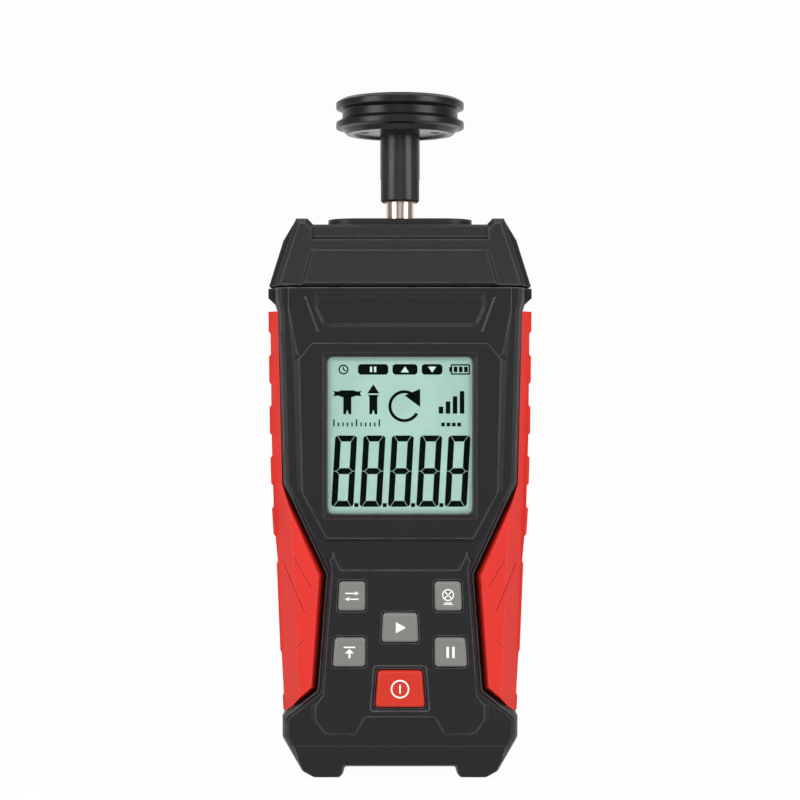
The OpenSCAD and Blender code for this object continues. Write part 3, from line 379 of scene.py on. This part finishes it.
def finish(name, colour, rough, grain=0.2, bump=0.02, uneven=0.04, wear_and_glint=0.4, worn_and_lit=(150, 150, 150),
           metallic=0.0, coat=0.0, specular=0.5, smudge=0.04, alpha=1.0):
    """A moulded, painted or metal finish. colour is its screen colour, uneven how far the cloud changes it,
    grain the size and bump the height of its grain in millimetres, and smudge how much rougher a smudge is.
    Its edges are painted lighter, in broken patches, towards a second colour and by a given amount: partly
    as wear and partly as a painted highlight."""
    made = bpy.data.materials.new(name)
    made.use_nodes = True
    tree = made.node_tree
    shader = tree.nodes["Principled BSDF"]
    fields = node(tree, "Group", node_tree=grain_group)
    fields.inputs["Grain size"].default_value = grain
    wear_and_glint_mask = node(tree, "Group", node_tree=wear_and_glint_group)
    wear_and_glint_mask.inputs["Amount"].default_value = wear_and_glint
    dark, light = (np.array(paint(*colour)) * [k, k, k, 1] for k in (1 - uneven, 1 + uneven))
    body = blended(tree, fields.outputs["Cloud"], dark.tolist(), light.tolist())
    # Edges painted towards the lighter colour: partly wear, partly a painted highlight.
    rubbed = blended(tree, wear_and_glint_mask.outputs["Worn"], body, paint(*worn_and_lit))
    tree.links.new(rubbed, shader.inputs["Base Color"])
    spread = node(tree, "MapRange", {"Value": fields.outputs["Smudge"], "To Min": rough,
                                     "To Max": rough + smudge})
    tree.links.new(spread.outputs[0], shader.inputs["Roughness"])
    relief = node(tree, "Bump", {"Height": fields.outputs["Grain"], "Strength": 1.0, "Distance": bump * mm})
    tree.links.new(relief.outputs[0], shader.inputs["Normal"])
    for socket, value in (("Metallic", metallic), ("Coat Weight", coat), ("Specular IOR Level", specular),
                          ("Alpha", alpha)):
        shader.inputs[socket].default_value = value
    if coat:
        shader.inputs["Coat Roughness"].default_value = varnish_rough
    return made


def dress(piece, made):
    """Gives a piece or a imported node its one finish."""
    piece.data.materials.clear()
    piece.data.materials.append(made)
    return piece


# Its edges are painted light grey: partly wear, partly a painted highlight.
black_abs = finish("black_abs", (28, 28, 30), 0.42, grain=0.16, bump=0.012, wear_and_glint=0.8, worn_and_lit=(120, 118, 121),
                   specular=0.2)
for piece in front_pieces:
    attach(dress(piece, black_abs), "case")
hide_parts("front_housing")


# Rear half of the case, battery door and the two covers of the head: the same black ABS, whose packed
# shapes are kept; on the covers of the head it is painted lighter, a painted light. Their edges are rounded
# here as the mould rounds them, and on the front of the head its shallow folds are too.
merge_distance, flat_angle, rounding_steps = 2e-6, 2.5, 3


def rounded_copy(name, packed, width, angle=28.0, smooth=40.0):
    """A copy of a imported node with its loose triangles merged, flat areas joined, and its edges rounded
    where their faces meet at more than the angle."""
    piece = bpy.data.objects.new(name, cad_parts[packed].data.copy())
    scene.collection.objects.link(piece)
    shape = bmesh.new()
    shape.from_mesh(piece.data)
    bmesh.ops.remove_doubles(shape, verts=shape.verts, dist=merge_distance)
    bmesh.ops.dissolve_limit(shape, angle_limit=radians(flat_angle), verts=shape.verts, edges=shape.edges)
    shape.to_mesh(piece.data)
    shape.free()
    edge = piece.modifiers.new("rounding", "BEVEL")
    edge.width, edge.segments, edge.limit_method = width * mm, rounding_steps, "ANGLE"
    edge.angle_limit, edge.use_clamp_overlap = radians(angle), True
    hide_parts(packed)
    return shaded(piece, smooth)


# The head's lighter copy of the black ABS is painted light, and its edges are painted lighter as wear and
# highlight.
head_abs_painted_light = finish("head_abs_painted_light", (39, 38, 40), 0.4, grain=0.16, bump=0.012, wear_and_glint=0.8, worn_and_lit=(90, 89, 91),
                  specular=0.2)
for name, packed, body, made, width, angle in (
        ("rear_case", "rear_housing", "case", black_abs, 0.3, 28.0),
        ("door_panel", "battery_door", "battery_door", black_abs, 0.15, 28.0),
        ("head_front", "head_front_cover", "head", head_abs_painted_light, 0.25, 9.0),
        ("head_rear", "head_rear_cover", "head", head_abs_painted_light, 0.3, 28.0)):
    piece = dress(rounded_copy(name, packed, width, angle), made)
    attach(piece, body)

# Side grips: red thermoplastic rubber moulded over the case, satin, with raised pads and fine grooves.
# Their imported shapes are kept, and every fold of 14 degrees or more is rounded.
# The grip edges are painted a light red: partly wear, partly a painted highlight.
grip_red = finish("grip_red", (208, 42, 33), 0.42, grain=0.35, bump=0.006, uneven=0.05, wear_and_glint=0.3,
                  worn_and_lit=(246, 92, 76), specular=0.25)
for side in ("left", "right"):
    piece = dress(rounded_copy(f"side_grip_{side}", f"grip_{side}", 0.28, angle=14.0), grip_red)
    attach(piece, "case")

# Display: a clear acrylic window over a reflective liquid-crystal glass. Its digits and marks are the dark
# segments, laid here as thin shapes on the glass.
glass_y = inner_y
mark_thick, mark_sink, stroke_over = 0.03, 0.01, 0.4


def print_on(name, shapes, y, thick=mark_thick):
    """Flat marks as closed slabs, one for each outline: they stand out from depth y by thick, and sink into
    what lies behind by mark_sink."""
    vertices, faces, start = [], [], 0
    for outline in shapes:
        outline = np.asarray(outline, float)
        count = len(outline)
        rows = np.stack([level(outline, y + mark_sink), level(outline, y - thick)])
        vertices.append(rows.reshape(-1, 3))
        faces += grid(2, count, start)
        faces += [list(range(start, start + count)), list(range(start + count, start + 2 * count))]
        start += 2 * count
    return solid(name, np.concatenate(vertices), faces)


def stroke(points, width, closed=False):
    """Outlines of a pen line: one four-cornered piece for each step, width across and longer than the step
    at both ends by stroke_over times half the width."""
    points = np.asarray(points, float)
    ends = np.vstack([points, points[:1]]) if closed else points
    out = []
    for a, b in zip(ends, ends[1:]):
        along = (b - a) / np.linalg.norm(b - a) * width / 2
        across = np.array([along[1], -along[0]])
        a, b = a - stroke_over * along, b + stroke_over * along
        out.append([a + across, b + across, b - across, a - across])
    return out


def arc(centre, radius, first, last, width, steps=28):
    """Outline of a curved band between two angles in degrees."""
    turn = np.radians(np.linspace(first, last, steps))
    ways = np.stack([np.cos(turn), np.sin(turn)], 1)
    return np.vstack([centre + (radius + width / 2) * ways, (centre + (radius - width / 2) * ways)[::-1]])


def ring(centre, radius, width):
    """A full circle line as two half bands."""
    return [arc(centre, radius, 0, 180, width), arc(centre, radius, 180, 360, width)]


def oblong(x, z, w, h, radius=0.0, steps=6):
    """Rectangle from its lower left corner, its corners rounded where a radius is given."""
    if not radius:
        return [[x, z], [x + w, z], [x + w, z + h], [x, z + h]]
    points = []
    for cx, cz, start in ((x + w - radius, z + radius, -90), (x + w - radius, z + h - radius, 0),
                          (x + radius, z + h - radius, 90), (x + radius, z + radius, 180)):
        turn = np.radians(np.linspace(start, start + 90, steps))
        points.append(np.stack([cx + radius * np.cos(turn), cz + radius * np.sin(turn)], 1))
    return np.vstack(points)


digit_w, digit_h, bar, slot_gap, digit_cut, digit_slant = 5.46, 17.4, 1.56, 0.11, 0.55, 0.056
first_x, digit_z, pitch = -16.74, 65.74, 6.873


def segments(x, z):
    """Seven bars of a digit whose lower left corner is at x, z: they meet on mitred lines, are drawn in by
    half a slot, and lean by the slant times their height."""
    w, h, b, c, half, mid = digit_w, digit_h, bar, digit_cut, bar / 2, digit_h / 2
    level_bars = [[[c, 0], [w - c, 0], [w - b, b], [b, b]], [[b, h - b], [w - b, h - b], [w - c, h], [c, h]],
                  [[half, mid], [b, mid - half], [w - b, mid - half], [w - half, mid], [w - b, mid + half],
                   [b, mid + half]]]
    left = np.array([[0, mid], [half, mid], [b, mid + half], [b, h - b], [c, h], [0, h - c]])
    right = (left * [-1, 1] + [w, 0])[::-1]
    uprights = [left, right, (left * [1, -1] + [0, h])[::-1], (right * [1, -1] + [0, h])[::-1]]
    bars = [inset(np.array(o, float), slot_gap / 2) for o in level_bars + uprights]
    return [o + [x, z] + np.stack([o[:, 1] * digit_slant, 0 * o[:, 1]], 1) for o in bars]


# Five figures with four decimal points between them.
digits, point_w, point_h, point_gap = 5, 1.0, 0.95, 0.2
marks = sum((segments(first_x + i * pitch, digit_z) for i in range(digits)), [])
marks += [oblong(first_x + i * pitch + digit_w + point_gap, digit_z, point_w, point_h)
          for i in range(digits - 1)]

# Top row: three pills, a battery with its cells, and a clock.
top_z, pill_h, pill_corner, line = 97.85, 2.55, 0.8, 0.34
pills = [(-10.2, 7.36), (-1.82, 6.07), (5.26, 5.05)]
battery_x, battery_z, battery_w, battery_h = 12.5, top_z + 0.17, 4.3, 2.2
nose_x, nose_z, nose_w, nose_h = 11.95, top_z + 0.7, 0.4, 1.15
cell_x, cell_z, cell_w, cell_h, cell_pitch = 13.05, top_z + 0.6, 0.85, 1.35, 1.25
clock, clock_r, hand_w = np.array([-13.7, top_z + 1.25]), 1.05, 0.3
marks += [oblong(x, top_z, width, pill_h, pill_corner) for x, width in pills]
marks += stroke(oblong(battery_x, battery_z, battery_w, battery_h), line, closed=True)
marks += [oblong(nose_x, nose_z, nose_w, nose_h)]
marks += [oblong(cell_x + i * cell_pitch, cell_z, cell_w, cell_h) for i in range(3)]
marks += ring(clock, clock_r, line)
marks += stroke([clock + [0, 0.65], clock, clock + [0.6, -0.35]], hand_w)

# Middle row: a wheel tip and a cone tip on their shafts, a turning arrow and four rising bars.
wheel_tip = [[-16.25, 92.6], [-15.0, 92.75], [-14.1, 92.4], [-11.5, 92.4], [-10.6, 92.75], [-9.3, 92.6],
             [-9.7, 93.3], [-9.3, 93.95], [-10.3, 93.75], [-11.4, 94.05], [-14.2, 94.05], [-15.2, 93.75],
             [-16.25, 93.95], [-15.85, 93.3]]
shaft = np.array([[0, 92.8], [0, 88.25], [0.62, 88.25], [0.97, 89.4], [1.32, 88.25], [1.94, 88.25],
                  [1.94, 92.8]])
shafts_x = (-13.75, -7.44)
cone_tip, cone_foot = [[-7.95, 93.3], [-5.0, 93.3], [-6.47, 95.5]], oblong(-7.7, 92.55, 2.46, 0.4)
turn_centre, turn_r, turn_w, turn_first, turn_last = [1.05, 90.2], 3.5, 0.75, 50, 330
turn_head = [[4.9, 90.0], [4.9, 94.4], [1.1, 92.8]]
bars_x, bars_z, bars_w, bars_pitch, bars_h, bars_rise = 9.4, 88.4, 1.1, 1.7, 1.7, 1.25
marks += [wheel_tip]
marks += [shaft + [x, 0] for x in shafts_x]
marks += [cone_tip, cone_foot]
marks += [arc(turn_centre, turn_r, turn_first, turn_last, turn_w), turn_head]
marks += [oblong(bars_x + i * bars_pitch, bars_z, bars_w, bars_h + i * bars_rise) for i in range(4)]

# Lower row: a short scale with a long tick at every fifth place, and four dots.
row_z, tick_x, tick_w, tick_pitch, long_tick, short_tick = 85.3, -16.2, 0.34, 1.1, 1.7, 0.95
dot_x, dot_w, dot_pitch = 10.0, 0.9, 1.3
marks += [oblong(tick_x + i * tick_pitch, row_z, tick_w, short_tick if i % 5 else long_tick)
          for i in range(11)]
marks += [oblong(dot_x + i * dot_pitch, row_z, dot_w, dot_w) for i in range(4)]
lcd_marks = print_on("display_marks", marks, glass_y)
segment_ink = finish("segment_ink", (6, 14, 12), 0.5, grain=0.5, bump=0.0, wear_and_glint=0.0, specular=0.0)
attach(dress(lcd_marks, segment_ink), "case")

# Light signs on the three pills: hold bars, an arrow up and an arrow down.
hold_bars_x, hold_bar_w, arrow_half, arrow_h = (-7.3, -6.3), 0.55, 1.0, 1.45
up_x, up_z, down_x, down_z = 1.2, top_z + 0.55, 7.8, top_z + 0.5
signs = [oblong(x, cell_z, hold_bar_w, cell_h) for x in hold_bars_x]
signs += [[[up_x - arrow_half, up_z], [up_x + arrow_half, up_z], [up_x, up_z + arrow_h]]]
signs += [[[down_x, down_z], [down_x + arrow_half, down_z + arrow_h],
           [down_x - arrow_half, down_z + arrow_h]]]
lcd_signs = print_on("display_signs", signs, glass_y - mark_thick)

# The backing of the liquid crystal: pale green, with a painted glow standing in for the light on it, and
# darker in a narrow band along the edges of the window, a painted shade of the bezel.
bezel_shade_band, lit_share, speck_scale, sheen_scale = 1.4, 0.5, 4000.0, 45.0
lcd = bpy.data.materials.new("lcd_backing_painted_light")
lcd.use_nodes = True
tree = lcd.node_tree
shader = tree.nodes["Principled BSDF"]
spot = node(tree, "TexCoord").outputs["Object"]
across = node(tree, "SeparateXYZ", {0: spot}).outputs
aside = reckon(tree, "ABSOLUTE", across["X"])
up = reckon(tree, "SUBTRACT", across["Z"], window_z * mm)
upright = reckon(tree, "ABSOLUTE", up)
near_side = reckon(tree, "SUBTRACT", window_w / 2 * mm, aside)
near_top = reckon(tree, "SUBTRACT", window_h / 2 * mm, upright)
nearest = reckon(tree, "MINIMUM", near_side, near_top)
# Painted shade of the bezel: darker within a narrow band along the window's edges.
outside_bezel_shade = node(tree, "MapRange", {"Value": nearest, "From Max": bezel_shade_band * mm},
                  interpolation_type="SMOOTHSTEP").outputs[0]
speck = node(tree, "TexNoise", {"Vector": spot, "Scale": speck_scale, "Detail": 1.0}).outputs[0]
sheen = node(tree, "TexNoise", {"Vector": spot, "Scale": sheen_scale, "Detail": 1.0}).outputs[0]
varied = node(tree, "MapRange", {"Value": sheen, "To Min": 0.72, "To Max": 1.0}).outputs[0]
lit = reckon(tree, "MULTIPLY", outside_bezel_shade, varied)
# Painted glow: the backing gives off its own pale green light, more where it is outside the painted shade.
glow = blended(tree, lit, paint(163, 194, 185), paint(204, 240, 230))
dim = blended(tree, lit_share, glow, (0, 0, 0, 1))
matt = node(tree, "MapRange", {"Value": speck, "To Min": 0.5, "To Max": 0.58}).outputs[0]
tree.links.new(dim, shader.inputs["Base Color"])
tree.links.new(glow, shader.inputs["Emission Color"])
tree.links.new(matt, shader.inputs["Roughness"])
shader.inputs["Emission Strength"].default_value = lit_share
shader.inputs["Specular IOR Level"].default_value = 0.1
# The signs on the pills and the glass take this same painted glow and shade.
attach(dress(lcd_signs, lcd), "case")
dress(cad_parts["lcd_glass"], lcd)

window = finish("clear_acrylic", (40, 50, 48), 0.06, bump=0.0, wear_and_glint=0.0, alpha=0.035, smudge=0.05)
for packed in ("display_window", "optics_window"):
    dress(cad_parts[packed], window)

# Keys: five grey and one red, moulded in ABS with a bevelled edge and a slightly dished top. The marks are
# printed in white: change of unit, lamp, start, highest value, hold and power.
# Key edges are painted lighter: partly wear, partly a painted highlight.
grey_key = finish("grey_key", (119, 118, 115), 0.42, specular=0.3, grain=0.2, bump=0.006, wear_and_glint=0.6,
                  worn_and_lit=(168, 160, 150))
red_key = finish("red_key", (194, 43, 24), 0.4, specular=0.3, grain=0.2, bump=0.006, wear_and_glint=0.5,
                 worn_and_lit=(250, 120, 90))
print_white = finish("print_white", (240, 240, 238), 0.45, grain=0.2, bump=0.002, wear_and_glint=0.0)

# Each sign is drawn in millimetres around the middle of its key.
lamp_z, lamp_r, lamp_line, spoke = 0.3, 1.3, 0.26, 0.85
lamp_cross = [stroke([[-x, lamp_z - spoke], [x, lamp_z + spoke]], lamp_line)[0] for x in (spoke, -spoke)]
lamp_feet = [oblong(-0.9, -1.75, 1.8, lamp_line), oblong(-1.25, -2.15, 2.5, lamp_line)]
key_signs = {
    "key_unit": [oblong(-1.6, 0.55, 2.4, 0.3), [[0.7, 0.2], [1.7, 0.7], [0.7, 1.2]],
                 oblong(-0.8, -0.85, 2.4, 0.3), [[-0.7, -1.2], [-1.7, -0.7], [-0.7, -0.2]]],
    "key_lamp": ring([0, lamp_z], lamp_r, lamp_line) + lamp_cross + lamp_feet,
    "key_test": [[[-1.0, -1.35], [1.4, 0], [-1.0, 1.35]]],
    "key_max": [oblong(-1.4, 1.05, 2.8, 0.34), [[-1.1, -0.25], [1.1, -0.25], [0, 0.85]],
                oblong(-0.25, -1.4, 0.5, 1.25)],
    "key_hold": [oblong(-1.0, -1.35, 0.6, 2.7), oblong(0.4, -1.35, 0.6, 2.7)],
    "key_power": ring([0, 0], 2.05, 0.36) + [oblong(-0.18, -1.05, 0.36, 2.1)],
}

# A key's side, from inside the case to the dished top: inset and depth of each level.
key_y, cap_fillet, sign_sink, sign_thick = -18.0, 0.16, 0.09, 0.05
cap_levels = [(0.0, inner_y), (0.0, key_y + 0.75), (0.18, key_y + 0.3), (0.55, key_y), (1.0, key_y),
              (2.2, key_y + 0.1)]
for name, outline in key_outlines.items():
    slot, plastic = ("red_key", red_key) if name == "key_power" else ("grey_key", grey_key)
    rows = profile([level(inset(outline, depth), y) for depth, y in cap_levels], cap_fillet)
    cap = plate(f"{name}_cap", cornered(rows, key_corner))
    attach(dress(cap, plastic), name)
    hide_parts(name)
    shapes = [np.asarray(shape) + outline.mean(0) for shape in key_signs[name]]
    mark = print_on(f"{name}_mark", shapes, key_y + sign_sink, sign_thick)
    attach(dress(mark, print_white), name)


# Measuring wheel: a glossy black hub with its sleeve, turned in one piece, and a smooth black rubber tyre
# with two ribs and a groove. The tyre is spun here from its section so that its rounding is even.
section_smooth = 60.0


def spun(name, section, fillet, turns=192):
    """A closed ring: the section's rounded points (r, z) go round at (r cos a, r sin a, z)."""
    section = np.asarray(section, float)
    levels = np.stack([section[:, 0], 0 * section[:, 0], section[:, 1]], 1)[:, None]
    loop = profile(np.concatenate([levels[-1:], levels, levels[:1]]), fillet, steps=5)[1:-1, 0]
    angle = np.linspace(0, 2 * np.pi, turns, endpoint=False)
    r, z = loop[:, :1], loop[:, 2:]
    points = np.stack([r * np.cos(angle), r * np.sin(angle), z + 0 * angle], -1)
    return solid(name, points.reshape(-1, 3), grid(len(loop), turns, 0, closed_rows=True), section_smooth)


wheel_z, wheel_h, tyre_fillet = 157.706, 8.76, 0.22
rib_r, groove_r, seat_r = 15.9, 14.35, 12.6
rise_shares = np.array([0.1256, 0.171, 0.3425, 0.434, 0.662, 0.724, 0.897, 1.0])
heights = wheel_z + wheel_h * rise_shares
radii = [groove_r, rib_r, rib_r, groove_r, groove_r, rib_r, rib_r, groove_r]
section = [(seat_r, heights[0]), *zip(radii, heights), (seat_r, heights[-1])]
tyre = spun("wheel_tyre_ring", section, tyre_fillet)
# Tyre and hub edges are painted a little lighter: partly wear, partly a painted highlight.
tyre_black = finish("tyre_black", (23, 23, 25), 0.3, grain=0.4, bump=0.003, wear_and_glint=0.2, worn_and_lit=(64, 64, 66),
                    specular=0.25)
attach(dress(tyre, tyre_black), "wheel")
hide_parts("wheel_tyre")
hub_black = finish("hub_black", (46, 43, 44), 0.2, grain=0.6, bump=0.001, wear_and_glint=0.2, worn_and_lit=(70, 70, 72),
                   specular=0.2, smudge=0.1)
hub = dress(rounded_copy("wheel_hub_body", "wheel_hub", 0.12, angle=30.0, smooth=35.0), hub_black)
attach(hub, "wheel")


# Spindle, cross pin, bearings, screws and contacts: ground or plated steel and brass with fine turning
# marks. The inner pieces of plastic, rubber and board get their finishes here too, and keep their shapes.
def metal(name, colour, rough, line=0.05, bump=0.002, across=30):
    """A turned metal: rings along Z, line apart and bump high in millimetres, from a noise that is fine
    along the axis and coarse across it."""
    # Edges of the metals are painted near white: partly wear, partly a painted glint.
    made = finish(name, colour, rough, grain=0.3, bump=0.0, uneven=0.04, wear_and_glint=0.2, worn_and_lit=(250, 250, 248),
                  metallic=1.0, smudge=0.12)
    tree = made.node_tree
    spot = node(tree, "TexCoord").outputs["Object"]
    stretched = node(tree, "Mapping", {"Vector": spot, "Scale": (across, across, 1 / mm / line)})
    lines = node(tree, "TexNoise", {"Vector": stretched.outputs[0], "Scale": 1.0, "Detail": 2.0})
    relief = next(n for n in tree.nodes if n.type == "BUMP")
    relief.inputs["Distance"].default_value = bump * mm
    tree.links.new(lines.outputs[0], relief.inputs["Height"])
    return made


ground_steel = metal("ground_steel", (216, 196, 184), 0.16)
zinc_steel = metal("zinc_steel", (176, 178, 180), 0.32, line=0.2)
bearing_steel = metal("bearing_steel", (196, 198, 200), 0.18)
turned_aluminium = metal("turned_aluminium", (190, 192, 196), 0.34, line=0.12)
brass = metal("turned_brass", (200, 160, 92), 0.28)
nickel = metal("nickel_plate", (206, 204, 196), 0.25, line=0.3)
board_green = finish("solder_mask", (22, 92, 58), 0.3, grain=0.8, bump=0.004, coat=0.4, uneven=0.15)
moulded_black = finish("moulded_black", (32, 32, 34), 0.5, grain=0.1, bump=0.01)
light_guide = finish("light_guide", (228, 230, 228), 0.3, bump=0.002)
silicone = finish("silicone", (206, 206, 202), 0.55, grain=0.3, bump=0.006)
conductive_rubber = finish("conductive_rubber", (196, 146, 152), 0.6, grain=0.3, bump=0.008)
dark_lens = finish("dark_lens", (60, 12, 16), 0.08, bump=0.0, coat=0.8)
cell_wrap = finish("cell_wrap", (96, 104, 112), 0.28, grain=0.6, bump=0.002, metallic=0.6)
disc_white = finish("disc_white", (236, 236, 232), 0.4, bump=0.003)
finishes = {
    "spindle": ground_steel, "drive_pin": ground_steel, "bearing_inner_rings": bearing_steel,
    "bearing_outer_rings": bearing_steel, "bearing_balls": bearing_steel, "retaining_ring": bearing_steel,
    "bearing_carrier": turned_aluminium, "board_screws": zinc_steel, "case_screws": zinc_steel,
    "head_screws": zinc_steel, "contact_leaves": nickel, "contact_plates": nickel, "laser_module": brass,
    "main_board": board_green, "sensor_board": board_green, "board_chips": moulded_black,
    "buzzer": moulded_black, "lcd_frame": light_guide, "lcd_backlight": light_guide, "keypad_mat": silicone,
    "zebra_strips": conductive_rubber, "light_receiver": dark_lens, "battery_cells": cell_wrap,
    "reflector_disc": disc_white, "head_base": black_abs,
}
for packed, made in finishes.items():
    dress(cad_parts[packed], made)

# Setting: a pale floor that runs up into a backdrop, soft lamps at both sides, in front and above, and a
# camera level with the display.
floor_rows = [(-3000, 0), (1200, 0), (1750, 80), (2100, 350), (2200, 800), (2200, 3000)]
floor_half, floor_drop, bend_fillet, bend_steps = 3500, 0.5, 250, 12
bend = profile([[[0, y, z]] for y, z in floor_rows], bend_fillet, bend_steps)[:, 0]
sweep = np.stack([bend + [x, 0, -floor_drop] for x in (-floor_half, floor_half)])
count = len(bend)
sheet = solid("studio_floor", sweep.reshape(-1, 3),
              [[i, i + 1, count + i + 1, count + i] for i in range(count - 1)])
studio = bpy.data.materials.new("studio_white")
studio.use_nodes = True
tree = studio.node_tree
tree.nodes.remove(tree.nodes["Principled BSDF"])


def for_rays(tree, low, high, *kinds):
    """A value that is high for rays of the named kinds and low for all others."""
    ray = node(tree, "LightPath").outputs
    found = ray[kinds[0]]
    for kind in kinds[1:]:
        found = reckon(tree, "MAXIMUM", found, ray[kind])
    return node(tree, "MapRange", {"Value": found, "To Min": low, "To Max": high}).outputs[0]


studio_share, paper_scale = 0.97, 40.0
share = for_rays(tree, 0.0, studio_share, "Is Camera Ray", "Is Glossy Ray", "Is Transmission Ray")
place = node(tree, "TexCoord").outputs["Object"]
mottle = node(tree, "TexNoise", {"Vector": place, "Scale": paper_scale, "Detail": 3.0}).outputs[0]
paper = blended(tree, mottle, (0.84, 0.84, 0.84, 1), (0.87, 0.87, 0.87, 1))
diffuse = node(tree, "BsdfDiffuse", {"Color": paper})
white = node(tree, "Emission", {"Color": (1, 1, 1, 1), "Strength": 1.0})
blend = node(tree, "MixShader", {0: share, 1: diffuse.outputs[0], 2: white.outputs[0]})
tree.links.new(blend.outputs[0], tree.nodes["Material Output"].inputs["Surface"])
dress(sheet, studio)

sky_light = 0.28
world = bpy.data.worlds.new("studio")
scene.world = world
world.use_nodes = True
sky = world.node_tree
backdrop = sky.nodes["Background"]
backdrop.inputs["Color"].default_value = (1, 1, 1, 1)
strength = for_rays(sky, sky_light, 1.0, "Is Camera Ray", "Is Transmission Ray")
sky.links.new(strength, backdrop.inputs["Strength"])


def lamp(name, place, aim, size, power):
    """A square soft lamp at a place, turned to its aim, in metres and watts."""
    light = bpy.data.lights.new(name, "AREA")
    light.shape, light.size, light.energy = "SQUARE", size, power
    holder = bpy.data.objects.new(name, light)
    holder.location = place
    holder.rotation_euler = (Vector(aim) - Vector(place)).to_track_quat("-Z", "Y").to_euler()
    scene.collection.objects.link(holder)


middle, side_size, wide_size = (0, 0, 0.085), 0.5, 0.6
lamp("left_softbox", (-0.68, -0.55, 0.38), middle, side_size, 5.0)
lamp("right_softbox", (0.68, -0.55, 0.38), middle, side_size, 5.0)
lamp("top_softbox", (0, -0.1, 0.95), middle, wide_size, 3.2)
lamp("front_softbox", (0, -1.3, 0.55), middle, wide_size, 1.3)

camera_y, camera_z = -0.544, 0.0917
camera_data = bpy.data.cameras.new("camera")
camera = bpy.data.objects.new("camera", camera_data)
scene.collection.objects.link(camera)
camera.location = (0, camera_y, camera_z)
camera.rotation_euler = (radians(90), 0, 0)
camera_data.sensor_width, camera_data.lens = 36.0, 98.28
camera_data.clip_start, camera_data.clip_end = 0.01, 20.0
scene.camera = camera
